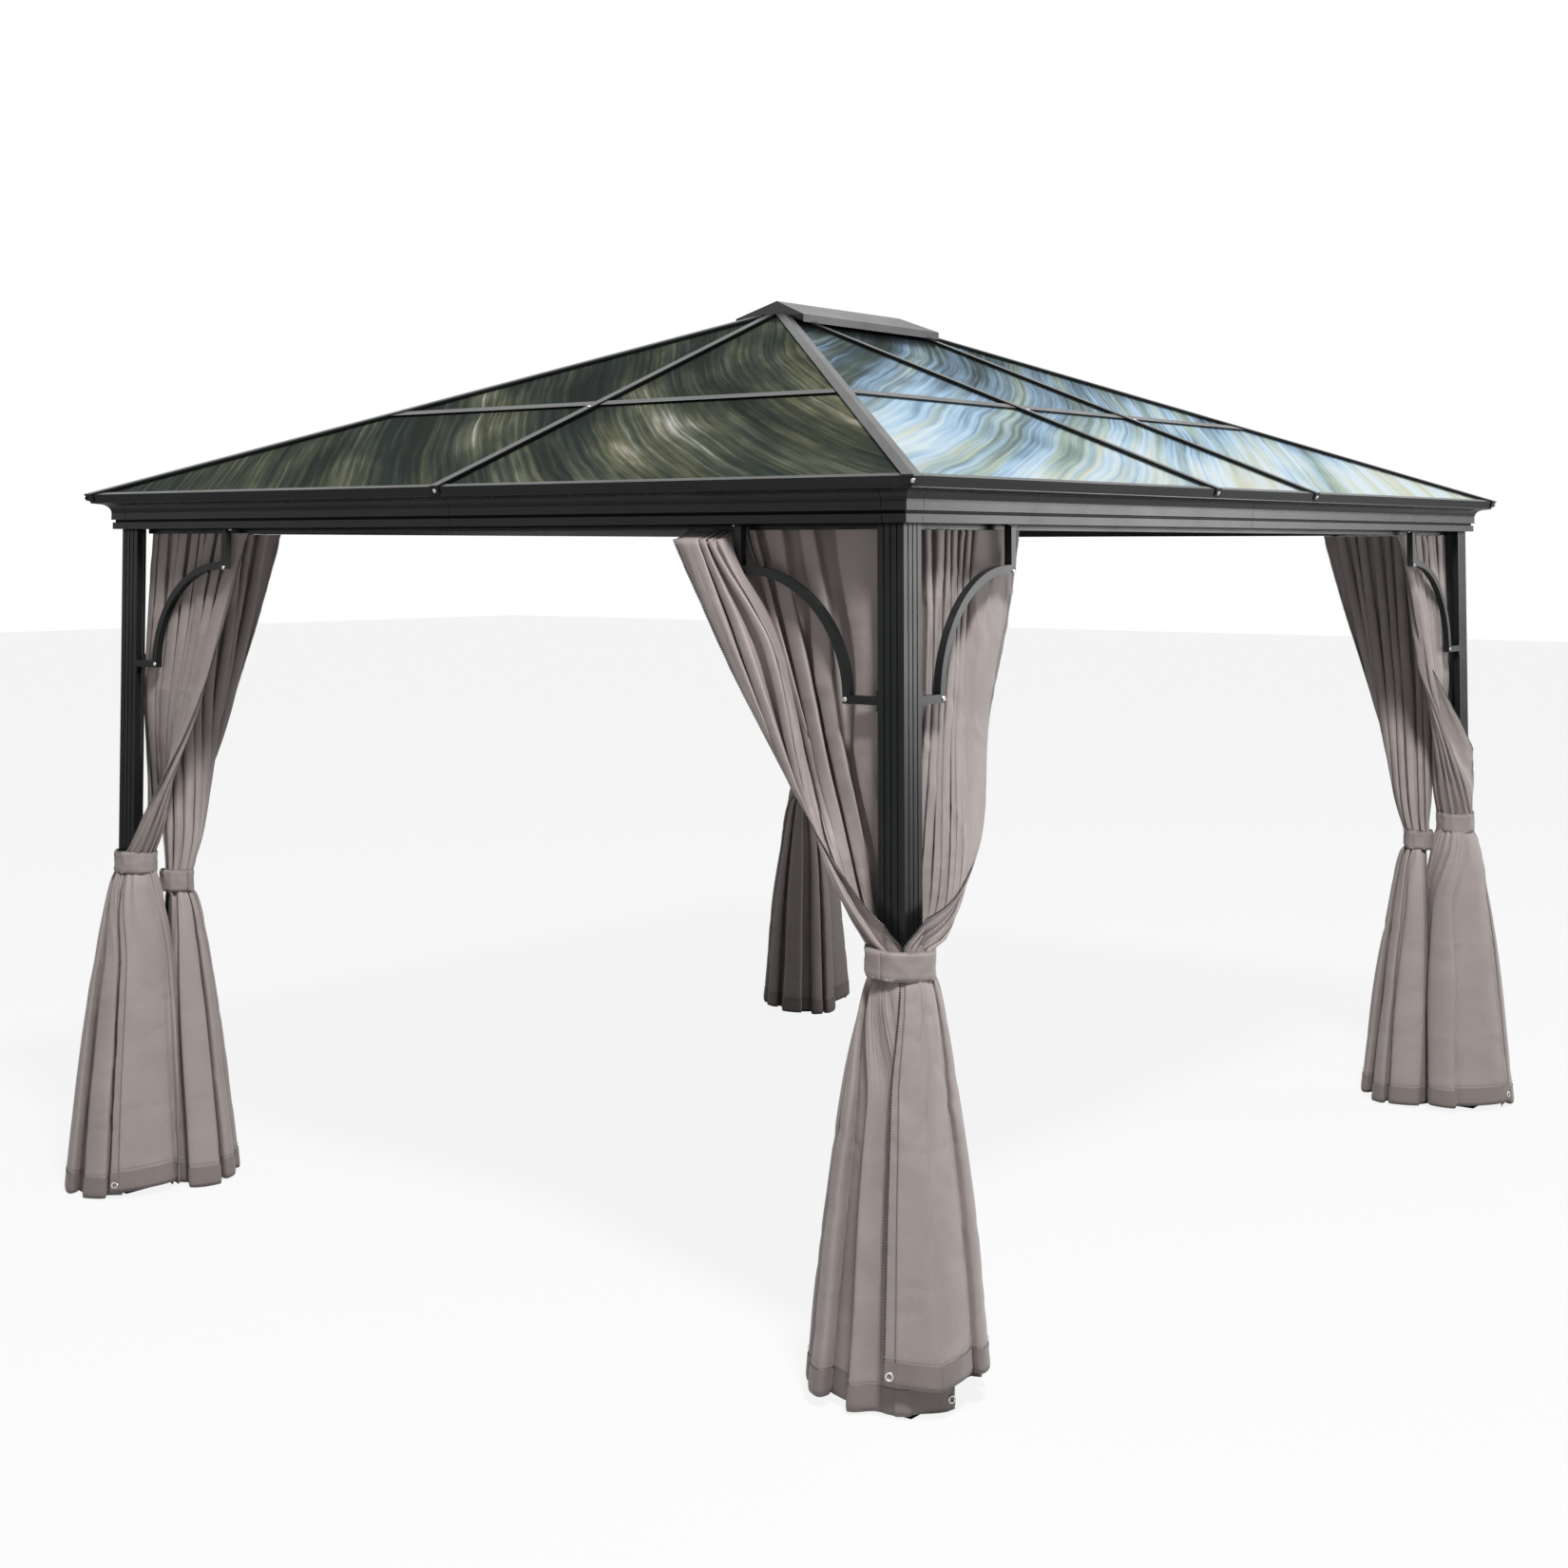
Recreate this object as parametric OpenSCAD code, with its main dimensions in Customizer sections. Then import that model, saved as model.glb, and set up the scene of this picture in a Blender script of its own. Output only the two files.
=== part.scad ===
// Hardtop garden gazebo: four fluted corner posts, a moulded cornice beam on each side, a hipped
// roof of smoked panels held by rails, arched corner brackets and tied-back curtains.
// Millimetres. +X runs along the long side, +Z is up, the origin is on the ground at the centre.

/* [Plan and height] */
// Length of the roof, eave edge to eave edge
roof_length = 3650; // [3400:10:4600]
// Width of the roof, eave edge to eave edge
roof_width = 3000; // [2600:10:3100]
// Height from the ground to the underside of the beams
clear_height = 1960; // [1850:5:2300]
// Height of the ridge line above the eave edge
roof_rise = 588; // [450:2:720]

/* [Posts] */
// Width of each outer face of the corner post
post_face = 72; // [60:1:100]
// Thickness of the two legs of the post
post_leg = 20; // [17:1:28]
// Wall of the post extrusion
post_wall = 2.5; // [1.5:0.1:4]
// Number of flutes on each outer face
flute_count = 3; // [1:1:5]
// Width of a flute
flute_w = 4; // [2:0.5:6]
// Depth of a flute
flute_depth = 1.5; // [0.5:0.1:2.5]
// Distance from the post face to a bolt centre in the foot plate
bolt_offset = 24; // [18:1:40]
// Distance from a bolt centre to the edge of the foot plate
foot_edge = 16; // [12:1:30]
// Diameter of the anchor bolt holes
bolt_d = 12; // [8:0.5:16]
// Thickness of the foot plate
foot_t = 6; // [4:0.5:10]

/* [Cornice beams] */
// Distance from the eave edge in to the lower face of the cornice
cornice_setback = 55; // [52:1:80]
// Distance from the lower face of the cornice in to the post face
post_setback = 21; // [10:1:30]
// Depth of the beam from its lower outer face to its inner face
beam_depth = 60; // [52:1:64]
// Wall of the beam extrusion
beam_wall = 3; // [2:0.5:4]
// Height of the lower band
band_h = 20; // [14:1:30]
// Height of the shadow groove over the lower band
groove_h = 8; // [4:1:12]
// Depth of the shadow groove
groove_in = 6; // [3:0.5:9]
// Height of the upper band
upper_h = 20; // [14:1:30]
// How far the upper band stands out past the lower one
upper_out = 3; // [0:0.5:6]
// Radius of the hollow moulding under the soffit
cove_r = 27; // [18:1:32]
// Thickness of the soffit at the eave
soffit_t = 5; // [3:0.5:8]
// Length of the corner piece along each side
corner_leg = 66; // [65:1:95]
// Open seam between the lengths of the cornice
seam = 1.6; // [0.5:0.1:3]

/* [Roof rails and panels] */
// Thickness of the roof panels
panel_t = 6; // [4:0.5:10]
// Depth of the rails below the top face of the panels
rail_depth = 22; // [18:1:30]
// Height of the rail covers above the panels
cover_h = 7; // [5:0.5:12]
// Width of the hip covers
hip_w = 44; // [34:1:60]
// Width of the rafter covers
rafter_w = 30; // [22:1:44]
// Width of the web between two panels
web_w = 8; // [6:1:12]
// Width of the mid rail covers
purlin_w = 36; // [24:1:50]
// Height of the mid rail covers above the panels
purlin_h = 4; // [2:0.5:6]
// Depth of the mid rails below the top face of the panels
purlin_depth = 16; // [12:1:20]
// Plan distance from the eave edge in to the mid rails
purlin_run = 640; // [450:5:900]
// Play of the panel edges in their rebates
panel_play = 1.5; // [0.5:0.1:3]
// Sheet thickness of the eave trim
trim_t = 2.5; // [1.5:0.1:3]
// Width of the trim lip over the panel edge
lip_w = 18; // [12:1:26]
// Height of the trim lip over the panel edge
lip_h = 3; // [2:0.1:4]
// Thickness of the end tabs of the rails
tab_t = 3; // [2:0.5:5]
// How far an end tab reaches down the fascia
tab_drop = 16; // [8:1:18]

/* [Ridge] */
// Distance from the ridge end to the end face of the ridge hub
hub_end = 50; // [48:1:58]
// Distance from the ridge line to the side face of the ridge hub
hub_side = 45; // [44:1:56]
// Distance from the ridge end to the bevelled corner of the hub
hub_bevel = 60; // [56:1:64]
// Distance from the ridge end to the back face of the hub, where the ridge beam butts
hub_tail = 13; // [12:0.5:16]
// Thickness of the ridge hub and ridge beam
hub_t = 20; // [14:1:30]
// Width of the ridge beam
ridge_w = 40; // [30:1:60]
// Half width of the ridge cap
cap_half = 133; // [110:1:170]
// How far the ridge cap reaches past the ridge end
cap_over = 58; // [52:1:80]
// How far the top edge of the cap reaches past the ridge end
cap_peak_over = 20; // [8:1:30]
// Height of the cap's top edge above the ridge line
cap_rise = 32; // [26:1:45]
// Sheet thickness of the ridge cap
cap_t = 2; // [1.5:0.5:3]

/* [Corner brackets] */
// Thickness of the bracket bar
bracket_bar = 20; // [14:1:20]
// Radius of the arch at the middle of the bar
bracket_r = 295; // [200:5:340]
// Length of the leg that meets the post
bracket_leg = 98; // [70:1:140]
// Length of the leg that meets the beam
bracket_drop = 108; // [70:1:150]
// Straight run between the arch and the upper leg
bracket_tail = 20; // [5:1:60]
// Thickness of the end flanges
flange_t = 3; // [2:0.5:5]
// Length of the end flanges
flange_len = 48; // [36:1:70]

/* [Curtains] */
// Width of the curtain track
track_w = 18; // [12:1:26]
// Height of the track above the underside of the beam
track_up = 12; // [6:1:20]
// How far the track hangs below the underside of the beam
track_down = 14; // [8:1:24]
// Thickness of the gathered cloth at the track
cloth_t = 40; // [24:1:48]
// Hem height above the ground
hem_gap = 30; // [12:1:90]
// Hem height of the shared skirt at the front left post
joint_hem_gap = 45; // [12:1:120]
// How far the skirts stand out past the post faces
skirt_out = 118; // [40:1:140]
// Middle height of the shared tie at the front left post
joint_tie_z = 975; // [800:5:1100]
// Radius of the bundle in the shared tie
joint_tie_r = 82; // [74:1:100]
// Half width of the shared skirt at the hem, across the corner
joint_hem_wide = 205; // [140:1:230]
// Half depth of the shared skirt at the hem, out from the corner
joint_hem_deep = 152; // [110:1:180]
// Middle height of the tie round a single curtain and its post
post_tie_z = 960; // [800:5:1100]
// Radius of the bundle round the post
post_tie_r = 62; // [60:1:70]
// Middle height of the tie of the curtain beside the post
side_tie_z = 895; // [800:5:1100]
// Radius of the bundle beside the post
side_tie_r = 50; // [40:1:56]
// Hem radius of the curtain beside the post
side_hem_r = 132; // [90:1:140]
// Height of a tie band
tie_h = 66; // [40:1:90]
// Thickness of a tie band
tie_t = 3; // [2:0.5:4]

/* [Hidden] */

frame_colour = [0.13, 0.13, 0.13];
panel_colour = [0.22, 0.25, 0.24, 0.7];
cloth_colour = [0.56, 0.50, 0.47];
tie_colour = [0.50, 0.44, 0.41];

// Clearance of pieces that seat on one another
seat = 0.3;
// A length longer than the whole roof, for cutting
far = 2 * roof_length;
// Smoothness of true circles
$fn = 64;

// Sides are numbered front 0, right 1, back 2, left 3
FRONT = 0;
RIGHT = 1;
BACK = 2;
LEFT = 3;
function is_end(k) = k % 2 == 1;

// Roof planes
run = roof_width / 2;
slope = roof_rise / run;
pitch = atan(slope);
hip_pitch = atan(slope / sqrt(2));
hip_fall = atan(slope / sqrt(2 + slope * slope));
slope_len = run / cos(pitch);
ridge_half = (roof_length - roof_width) / 2;

// Heights up the cornice, from the underside of the beam
groove_z = band_h;
upper_z = groove_z + groove_h;
cove_z = upper_z + upper_h;
cove_top = cove_z + cove_r;
eave_z = clear_height + cove_top + soffit_t + rail_depth * cos(pitch);
ridge_z = eave_z + roof_rise;

// Plan places
cornice_x = roof_length / 2 - cornice_setback;
cornice_y = roof_width / 2 - cornice_setback;
post_x = cornice_x - post_setback;
post_y = cornice_y - post_setback;
track_mid = beam_depth + seat + track_w / 2 - post_setback;
track_bottom = clear_height - track_down;

function eave_half(k) = is_end(k) ? roof_width / 2 : roof_length / 2;
function eave_out(k) = is_end(k) ? roof_length / 2 : roof_width / 2;
function cornice_half(k) = is_end(k) ? cornice_y : cornice_x;
function cornice_out(k) = is_end(k) ? cornice_x : cornice_y;
function rafter_places(k) = is_end(k) ? [0] : [-ridge_half, ridge_half];

// Distance from the centre to the vertical face on the hub where the rafters of a side end
function rafter_stop(k) = (is_end(k) ? ridge_half + hub_end : hub_side) + seat;

// Turn the front side to side k
module on_side(k) rotate([0, 0, 90 * k]) children();

// Slope frame of side k: X along the eave, Y up the slope, Z out of the roof
module on_slope(k) {
    on_side(k)
        translate([0, -eave_out(k), eave_z])
            rotate([pitch, 0, 0])
                children();
}

// Corner frame: origin at the outer post corner, X and Y inwards along the two sides
module at_corner(sx, sy) {
    translate([sx * post_x, sy * post_y, 0])
        mirror([sx > 0 ? 1 : 0, 0, 0])
            mirror([0, sy > 0 ? 1 : 0, 0])
                children();
}

module at_corners() {
    for (sx = [-1, 1])
        for (sy = [-1, 1])
            at_corner(sx, sy) children();
}

// Swap the two inward directions of a corner frame
module swap_sides() mirror([1, -1, 0]) children();

// Posts

module post_profile() {
    flute_pitch = post_face / (flute_count + 1);
    chamber = flute_depth + post_wall;
    difference() {
        union() {
            square([post_face, post_leg]);
            square([post_leg, post_face]);
        }
        for (i = [1:flute_count]) {
            translate([i * flute_pitch - flute_w / 2, -flute_depth])
                square([flute_w, 2 * flute_depth]);
            translate([-flute_depth, i * flute_pitch - flute_w / 2])
                square([2 * flute_depth, flute_w]);
        }
        translate([chamber, chamber])
            square([post_face - post_wall - chamber, post_leg - post_wall - chamber]);
        translate([chamber, chamber])
            square([post_leg - post_wall - chamber, post_face - post_wall - chamber]);
    }
}

module post(sx, sy) {
    color(frame_colour)
        at_corner(sx, sy)
            translate([0, 0, foot_t])
                linear_extrude(clear_height - seat - foot_t)
                    post_profile();
}

module foot_plates() {
    bolt_half = post_face / 2 + bolt_offset;
    plate_half = bolt_half + foot_edge;
    color(frame_colour)
        at_corners()
            translate([post_face / 2, post_face / 2, 0])
                difference() {
                    translate([-plate_half, -plate_half, 0])
                        cube([2 * plate_half, 2 * plate_half, foot_t]);
                    for (a = [-1, 1])
                        for (b = [-1, 1])
                            translate([a * bolt_half, b * bolt_half, -1])
                                cylinder(d = bolt_d, h = foot_t + 2);
                }
}

// Cornice beams

// Height of the beam's sloped top, a distance in from its lower outer face
function beam_top(q) = eave_z - clear_height + (cornice_setback + q) * slope
    - (rail_depth + seat) / cos(pitch);

function arc(cx, cy, r, a0, a1, steps) =
    [for (i = [0:steps]) let (a = a0 + (a1 - a0) * i / steps) [cx + r * cos(a), cy + r * sin(a)]];

// Section of the cornice: X inwards from its lower outer face, Y up from its underside
module cornice_profile() {
    cove_end = -upper_out - cove_r;
    tip = rail_depth * sin(pitch) + seat - cornice_setback;
    inner = beam_depth - beam_wall;
    pocket = groove_in + beam_wall;
    difference() {
        polygon(concat(
            [[0, 0], [0, groove_z], [groove_in, groove_z], [groove_in, upper_z], [-upper_out, upper_z]],
            arc(cove_end, cove_z, cove_r, 0, 90, 8),
            [[tip, cove_top + soffit_t / 2], [tip, beam_top(tip)], [beam_depth, beam_top(beam_depth)],
             [beam_depth, 0]]
        ));
        polygon(concat(
            [[pocket, beam_wall], [pocket, cove_z]],
            arc(cove_end, cove_z, cove_r + beam_wall, 15, 75, 5),
            [[cove_end + cove_r / 4, beam_top(cove_end + cove_r / 4) - beam_wall],
             [inner, beam_top(inner) - beam_wall], [inner, beam_wall]]
        ));
    }
}

// A length of cornice on side k, from place a to place b along it
module cornice_run(k, a, b) {
    on_side(k)
        translate([a, -cornice_out(k), clear_height])
            rotate([90, 0, 90])
                linear_extrude(b - a)
                    cornice_profile();
}

// Everything on side k that lies inside its two diagonal mitre planes
module mitre_zone(k, gap) {
    half = eave_half(k);
    out = eave_out(k);
    reach = 4 * cornice_setback;
    on_side(k)
        translate([0, 0, clear_height - reach])
            linear_extrude(3 * reach)
                polygon([[-half - reach + gap, -out - reach], [half + reach - gap, -out - reach],
                         [half - reach - gap, -out + reach], [-half + reach + gap, -out + reach]]);
}

module beam(k) {
    stop = cornice_half(k) - corner_leg - seam;
    color(frame_colour) {
        cornice_run(k, -stop, -seam / 2);
        cornice_run(k, seam / 2, stop);
    }
}

module cornice_corner_leg(k, end) {
    corner = cornice_half(k);
    outer = corner + 2 * cornice_setback;
    intersection() {
        cornice_run(k, end > 0 ? corner - corner_leg : -outer, end > 0 ? outer : corner_leg - corner);
        mitre_zone(k, 0);
    }
}

module cornice_corners() {
    color(frame_colour)
        for (k = [FRONT:LEFT])
            union() {
                cornice_corner_leg(k, 1);
                cornice_corner_leg((k + 1) % 4, -1);
            }
}

// Roof rails and panels

// Eave trim section: X up the slope from the eave edge, Y out of the roof
module trim_profile() {
    shelf_w = lip_w + trim_t;
    shelf_y = -panel_t - seat;
    translate([0, -rail_depth])
        square([trim_t, rail_depth + lip_h]);
    translate([0, seat])
        square([lip_w, lip_h - seat]);
    translate([0, shelf_y - trim_t])
        square([shelf_w, trim_t]);
}

module eave_trim(k) {
    half = eave_half(k) + cornice_setback;
    color(frame_colour)
        intersection() {
            on_slope(k)
                translate([-half, 0, 0])
                    rotate([90, 0, 90])
                        linear_extrude(2 * half)
                            trim_profile();
            mitre_zone(k, seat);
        }
}

// Where rails start behind the trim, up the slope
rail_start = lip_w + 2 * trim_t;

// Room that the rail leaves for the trim lip, above the panels
cover_base = lip_h + seat;

// Cut off everything on side k that lies nearer the middle than a distance
module stop_at(k, distance) {
    difference() {
        children();
        on_side(k)
            translate([-far / 2, -distance, 0])
                cube([far, far, far]);
    }
}

// A bar along the slope: half width, start, and the range of heights out of the roof
module slope_bar(half_w, start, low, high) {
    translate([-half_w, start, low])
        cube([2 * half_w, slope_len - start, high - low]);
}

// End tab of a rail on the fascia, let into the middle of the cover
module rail_tab(half_w) {
    translate([-half_w, -tab_t - seat, -tab_drop])
        cube([2 * half_w, tab_t, tab_drop + (cover_base + cover_h) / 2]);
}

module rafter() {
    half = rafter_w / 2;
    slope_bar(half - 1, rail_start, -rail_depth, -panel_t - seat);
    slope_bar(web_w / 2, rail_start, -panel_t - 1, 1);
    slope_bar(half, rail_start, seat, cover_h);
    slope_bar(half, -tab_t - seat, cover_base, cover_h);
    rail_tab(half - 0.5);
}

module rafters(k) {
    color(frame_colour)
        stop_at(k, rafter_stop(k))
            on_slope(k)
                for (s = rafter_places(k))
                    translate([s, 0, 0])
                        rafter();
}

// Folded section parallel to both roof planes, from one height out of the roof to another
module chevron(half_w, low, high) {
    fall = half_w * tan(hip_fall);
    rise0 = low / cos(hip_fall);
    rise1 = high / cos(hip_fall);
    polygon([[-half_w, rise0 - fall], [0, rise0], [half_w, rise0 - fall],
             [half_w, rise1 - fall], [0, rise1], [-half_w, rise1 - fall]]);
}

module along_hip(start) {
    rotate([0, -hip_pitch, 0])
        rotate([90, 0, 90])
            translate([0, 0, start])
                linear_extrude(sqrt(2) * run / cos(hip_pitch) - start)
                    children();
}

module hip_rail() {
    half = hip_w / 2;
    start = (rail_start + half) * sqrt(2);
    top_cut = sqrt(2) * run - hub_bevel - seat;
    difference() {
        union() {
            along_hip(start) {
                chevron(half - 4, -rail_depth, -panel_t - seat);
                chevron(web_w / 2 + 1, -panel_t - 1, 1);
                chevron(half, seat, cover_h);
            }
            along_hip(-half)
                chevron(half, cover_base, cover_h);
        }
        translate([top_cut, -far / 2, -far / 2])
            cube([far, far, far]);
    }
}

// The two tabs of a hip, on the fascias of sides a and b that meet at its foot
module hip_tabs(a, b) {
    tab_half = hip_w / 2;
    for (place = [[a, -1], [b, 1]])
        intersection() {
            on_slope(place[0])
                translate([place[1] * eave_half(place[0]), 0, 0])
                    rail_tab(sqrt(2) * tab_half);
            mitre_zone(place[0], 0);
        }
}

// Roof outline in plan, out to the faces of the tabs
module tab_outline() {
    grow = (tab_t + seat) * cos(pitch) + cover_h * sin(pitch);
    half_x = roof_length / 2 + grow;
    half_y = roof_width / 2 + grow;
    translate([-half_x, -half_y, 0])
        cube([2 * half_x, 2 * half_y, far]);
}

module hip(sx, sy, a, b) {
    color(frame_colour)
        union() {
            intersection() {
                translate([sx * roof_length / 2, sy * roof_width / 2, eave_z])
                    rotate([0, 0, atan2(-sy, -sx)])
                        hip_rail();
                tab_outline();
            }
            hip_tabs(a, b);
        }
}

// Place along the eave of the left hip, up the slope by v and a gap to its right
function hip_place(k, v, gap) = v * cos(pitch) - eave_half(k) + gap * sqrt(1 + pow(cos(pitch), 2));

// Left and right edges of bay i of side k: a rafter, or a hip at either end
function bay_left(k, i, v, hip_gap, rafter_gap) =
    i == 0 ? hip_place(k, v, hip_gap) : rafter_places(k)[i - 1] + rafter_gap;
function bay_right(k, i, v, hip_gap, rafter_gap) =
    i == len(rafter_places(k)) ? -hip_place(k, v, hip_gap) : rafter_places(k)[i] - rafter_gap;

// The part of a bay between two distances up the slope, clear of its rails
module bay(k, i, v0, v1, hip_gap, rafter_gap) {
    polygon([
        [bay_left(k, i, v0, hip_gap, rafter_gap), v0],
        [bay_right(k, i, v0, hip_gap, rafter_gap), v0],
        [bay_right(k, i, v1, hip_gap, rafter_gap), v1],
        [bay_left(k, i, v1, hip_gap, rafter_gap), v1]
    ]);
}

purlin_v = purlin_run / cos(pitch);
purlin_web = web_w / 2 - 1;
panel_foot = trim_t + panel_play / 2;
panel_head = slope_len - hub_end / 2 / cos(pitch);

module panels(k) {
    hip_gap = web_w / 2 + 1 + panel_play;
    rafter_gap = web_w / 2 + panel_play;
    mid_gap = purlin_web + panel_play;
    color(panel_colour)
        on_slope(k)
            for (i = [0:len(rafter_places(k))])
                for (row = [[panel_foot, purlin_v - mid_gap], [purlin_v + mid_gap, panel_head]])
                    translate([0, 0, -panel_t])
                        linear_extrude(panel_t)
                            bay(k, i, row[0], row[1], hip_gap, rafter_gap);
}

module purlin_layer(k, i, half_w, low, high) {
    hip_gap = hip_w / 2 / cos(hip_fall) + seat;
    rafter_gap = rafter_w / 2 + seat;
    translate([0, 0, low])
        linear_extrude(high - low)
            bay(k, i, purlin_v - half_w, purlin_v + half_w, hip_gap, rafter_gap);
}

module purlins(k) {
    color(frame_colour)
        on_slope(k)
            for (i = [0:len(rafter_places(k))])
                union() {
                    purlin_layer(k, i, purlin_w / 2, seat, purlin_h);
                    purlin_layer(k, i, purlin_web, -panel_t - 1, 1);
                    purlin_layer(k, i, purlin_w / 3, -purlin_depth, -panel_t - seat);
                }
}

// Ridge

hub_top = ridge_z - hub_end * slope - (panel_t + seat) / cos(pitch);

module ridge_hub() {
    bevel = hub_bevel * sqrt(2);
    translate([0, 0, hub_top - hub_t])
        linear_extrude(hub_t)
            polygon([[hub_end, hub_end - bevel], [hub_end, bevel - hub_end],
                     [bevel - hub_side, hub_side], [-hub_tail, hub_side],
                     [-hub_tail, -hub_side], [bevel - hub_side, -hub_side]]);
}

module ridge_hubs() {
    color(frame_colour)
        for (turn = [0, 180])
            rotate([0, 0, turn])
                translate([ridge_half, 0, 0])
                    ridge_hub();
}

module ridge_beam() {
    half = ridge_half - hub_tail - seat;
    color(frame_colour)
        translate([-half, -ridge_w / 2, hub_top - hub_t])
            cube([2 * half, ridge_w, hub_t]);
}

module extrude_x(length) {
    rotate([90, 0, 90])
        translate([0, 0, -length / 2])
            linear_extrude(length)
                children();
}

module extrude_y(length) {
    rotate([90, 0, 0])
        translate([0, 0, -length / 2])
            linear_extrude(length)
                children();
}

// The roof near the ridge as one solid, up to a height out of its planes
module roof_body(height) {
    top = ridge_z + height / cos(pitch);
    drop = roof_rise;
    spread = drop / slope;
    intersection() {
        extrude_x(far)
            polygon([[-spread, top - drop], [0, top], [spread, top - drop]]);
        extrude_y(far)
            polygon([[-ridge_half - spread, top - drop], [-ridge_half, top],
                     [ridge_half, top], [ridge_half + spread, top - drop]]);
    }
}

// Folded body of the ridge cap, made smaller all round by an inset
module cap_body(inset) {
    peak = ridge_z + cap_rise - inset / cos(pitch);
    half_y = cap_half - inset;
    half_x = ridge_half + cap_over - inset;
    peak_x = ridge_half + cap_peak_over - inset / 2;
    shoulder = peak - half_y * slope;
    low = ridge_z - roof_rise / 2;
    intersection() {
        extrude_x(far)
            polygon([[-half_y, low], [-half_y, shoulder], [0, peak], [half_y, shoulder], [half_y, low]]);
        extrude_y(far)
            polygon([[-half_x, low], [-half_x, shoulder], [-peak_x, peak],
                     [peak_x, peak], [half_x, shoulder], [half_x, low]]);
    }
}

module ridge_cap() {
    color(frame_colour)
        difference() {
            cap_body(0);
            cap_body(cap_t);
            roof_body(cover_h + seat);
        }
}

// Corner brackets

// Arched bar in its own plane: X from the outer post corner along the side, Y up from the ground
module bracket_shape() {
    half = bracket_bar / 2;
    foot_x = post_face + bracket_leg - half;
    top_y = clear_height - bracket_drop;
    centre = [foot_x + bracket_r, top_y - bracket_r];
    upper_x = centre[0] + bracket_tail;
    start = post_face + seat;
    end = clear_height - seat;
    translate([start, centre[1] - half])
        square([bracket_leg - seat, bracket_bar]);
    translate(centre)
        intersection() {
            difference() {
                circle(r = bracket_r + half);
                circle(r = bracket_r - half);
            }
            translate([-bracket_r - half, 0])
                square(bracket_r + half);
        }
    translate([centre[0], top_y - half])
        square([bracket_tail, bracket_bar]);
    translate([upper_x - half, top_y - half])
        square([bracket_bar, end - top_y + half]);
    translate([upper_x - flange_len / 2, end - flange_t])
        square([flange_len, flange_t]);
    translate([start, centre[1] - flange_len / 2])
        square([flange_t, flange_len]);
}

module bracket() {
    translate([0, bracket_bar, 0])
        rotate([90, 0, 0])
            linear_extrude(bracket_bar)
                bracket_shape();
}

module brackets(sx, sy) {
    color(frame_colour)
        at_corner(sx, sy) {
            bracket();
            swap_sides() bracket();
        }
}

// Curtains

module track_profile() {
    lips = track_w / 3;
    wall = track_w / 9;
    difference() {
        translate([0, -track_down])
            square([track_w, track_down + track_up]);
        translate([wall, wall - track_down])
            square([track_w - 2 * wall, track_down + track_up - 2 * wall]);
        translate([lips, -track_down - 1])
            square([track_w - 2 * lips, wall + 2]);
    }
}

module curtain_tracks() {
    color(frame_colour)
        for (k = [FRONT:LEFT]) {
            stop = cornice_half(k) - beam_depth - 2 * track_w;
            on_side(k)
                translate([-stop, beam_depth + seat - cornice_out(k), clear_height])
                    rotate([90, 0, 90])
                        linear_extrude(2 * stop)
                            track_profile();
        }
}

// Round to boxy ring of a curtain: middle, half sizes, height and squareness
function soften(x, power) = sign(x) * pow(abs(x), power);
function cloth_ring(mid, half, z, power) = [
    for (i = [0:15])
        [mid[0] + half[0] * soften(cos(22.5 * i), power), mid[1] + half[1] * soften(sin(22.5 * i), power), z]
];

// Oval ring of a skirt, with its wide axis across the corner and its deep axis out from the corner
function oval_ring(mid, half, z) = [
    for (i = [0:15])
        let (a = 22.5 * i, r = 1 / norm([cos(a + 45) / half[0], sin(a + 45) / half[1]]))
        [mid[0] + r * cos(a), mid[1] + r * sin(a), z]
];

// Closed solid through a list of rings with sixteen points each
module loft(rings) {
    count = 16;
    last = len(rings) - 1;
    polyhedron(
        points = [for (ring = rings) each ring],
        faces = concat(
            [[for (i = [0:count - 1]) i]],
            [for (r = [0:last - 1]) for (i = [0:count - 1])
                let (a = r * count + i, b = r * count + (i + 1) % count)
                [a, a + count, b + count, b]],
            [[for (i = [count - 1:-1:0]) last * count + i]]
        )
    );
}

// A gathered curtain that hangs along X of the corner frame: how far it reaches from the post
// corner, then [middle, radius, height] of its tie and [middle, half sizes, height] of its hem
module curtain_body(reach, tie, hem, grow = 0) {
    out = [grow, grow];
    start = post_face + post_leg / 2;
    top_z = track_bottom - seat;
    top_mid = [(start + reach) / 2, track_mid];
    top_half = [(reach - start) / 2, cloth_t / 2];
    tie_mid = tie[0];
    tie_half = [tie[1], tie[1]];
    tie_z = tie[2];
    skirt = 0.45;
    loft([
        oval_ring(hem[0], hem[1] + out, hem[2] - grow),
        oval_ring(tie_mid + skirt * (hem[0] - tie_mid), tie_half + skirt * (hem[1] - tie_half) + out,
                  tie_z + skirt * (hem[2] - tie_z)),
        oval_ring(tie_mid, tie_half + out, tie_z - tie_h / 2),
        oval_ring(tie_mid, tie_half + out, tie_z + tie_h / 2),
        for (step = [[0.2, 0.3, 0.9], [0.62, 0.68, 0.7], [1, 1, 0.4]])
            cloth_ring(tie_mid + step[1] * (top_mid - tie_mid),
                       tie_half + step[1] * (top_half - tie_half) + out,
                       tie_z + step[0] * (top_z + grow - tie_z), step[2])
    ]);
}

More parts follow.
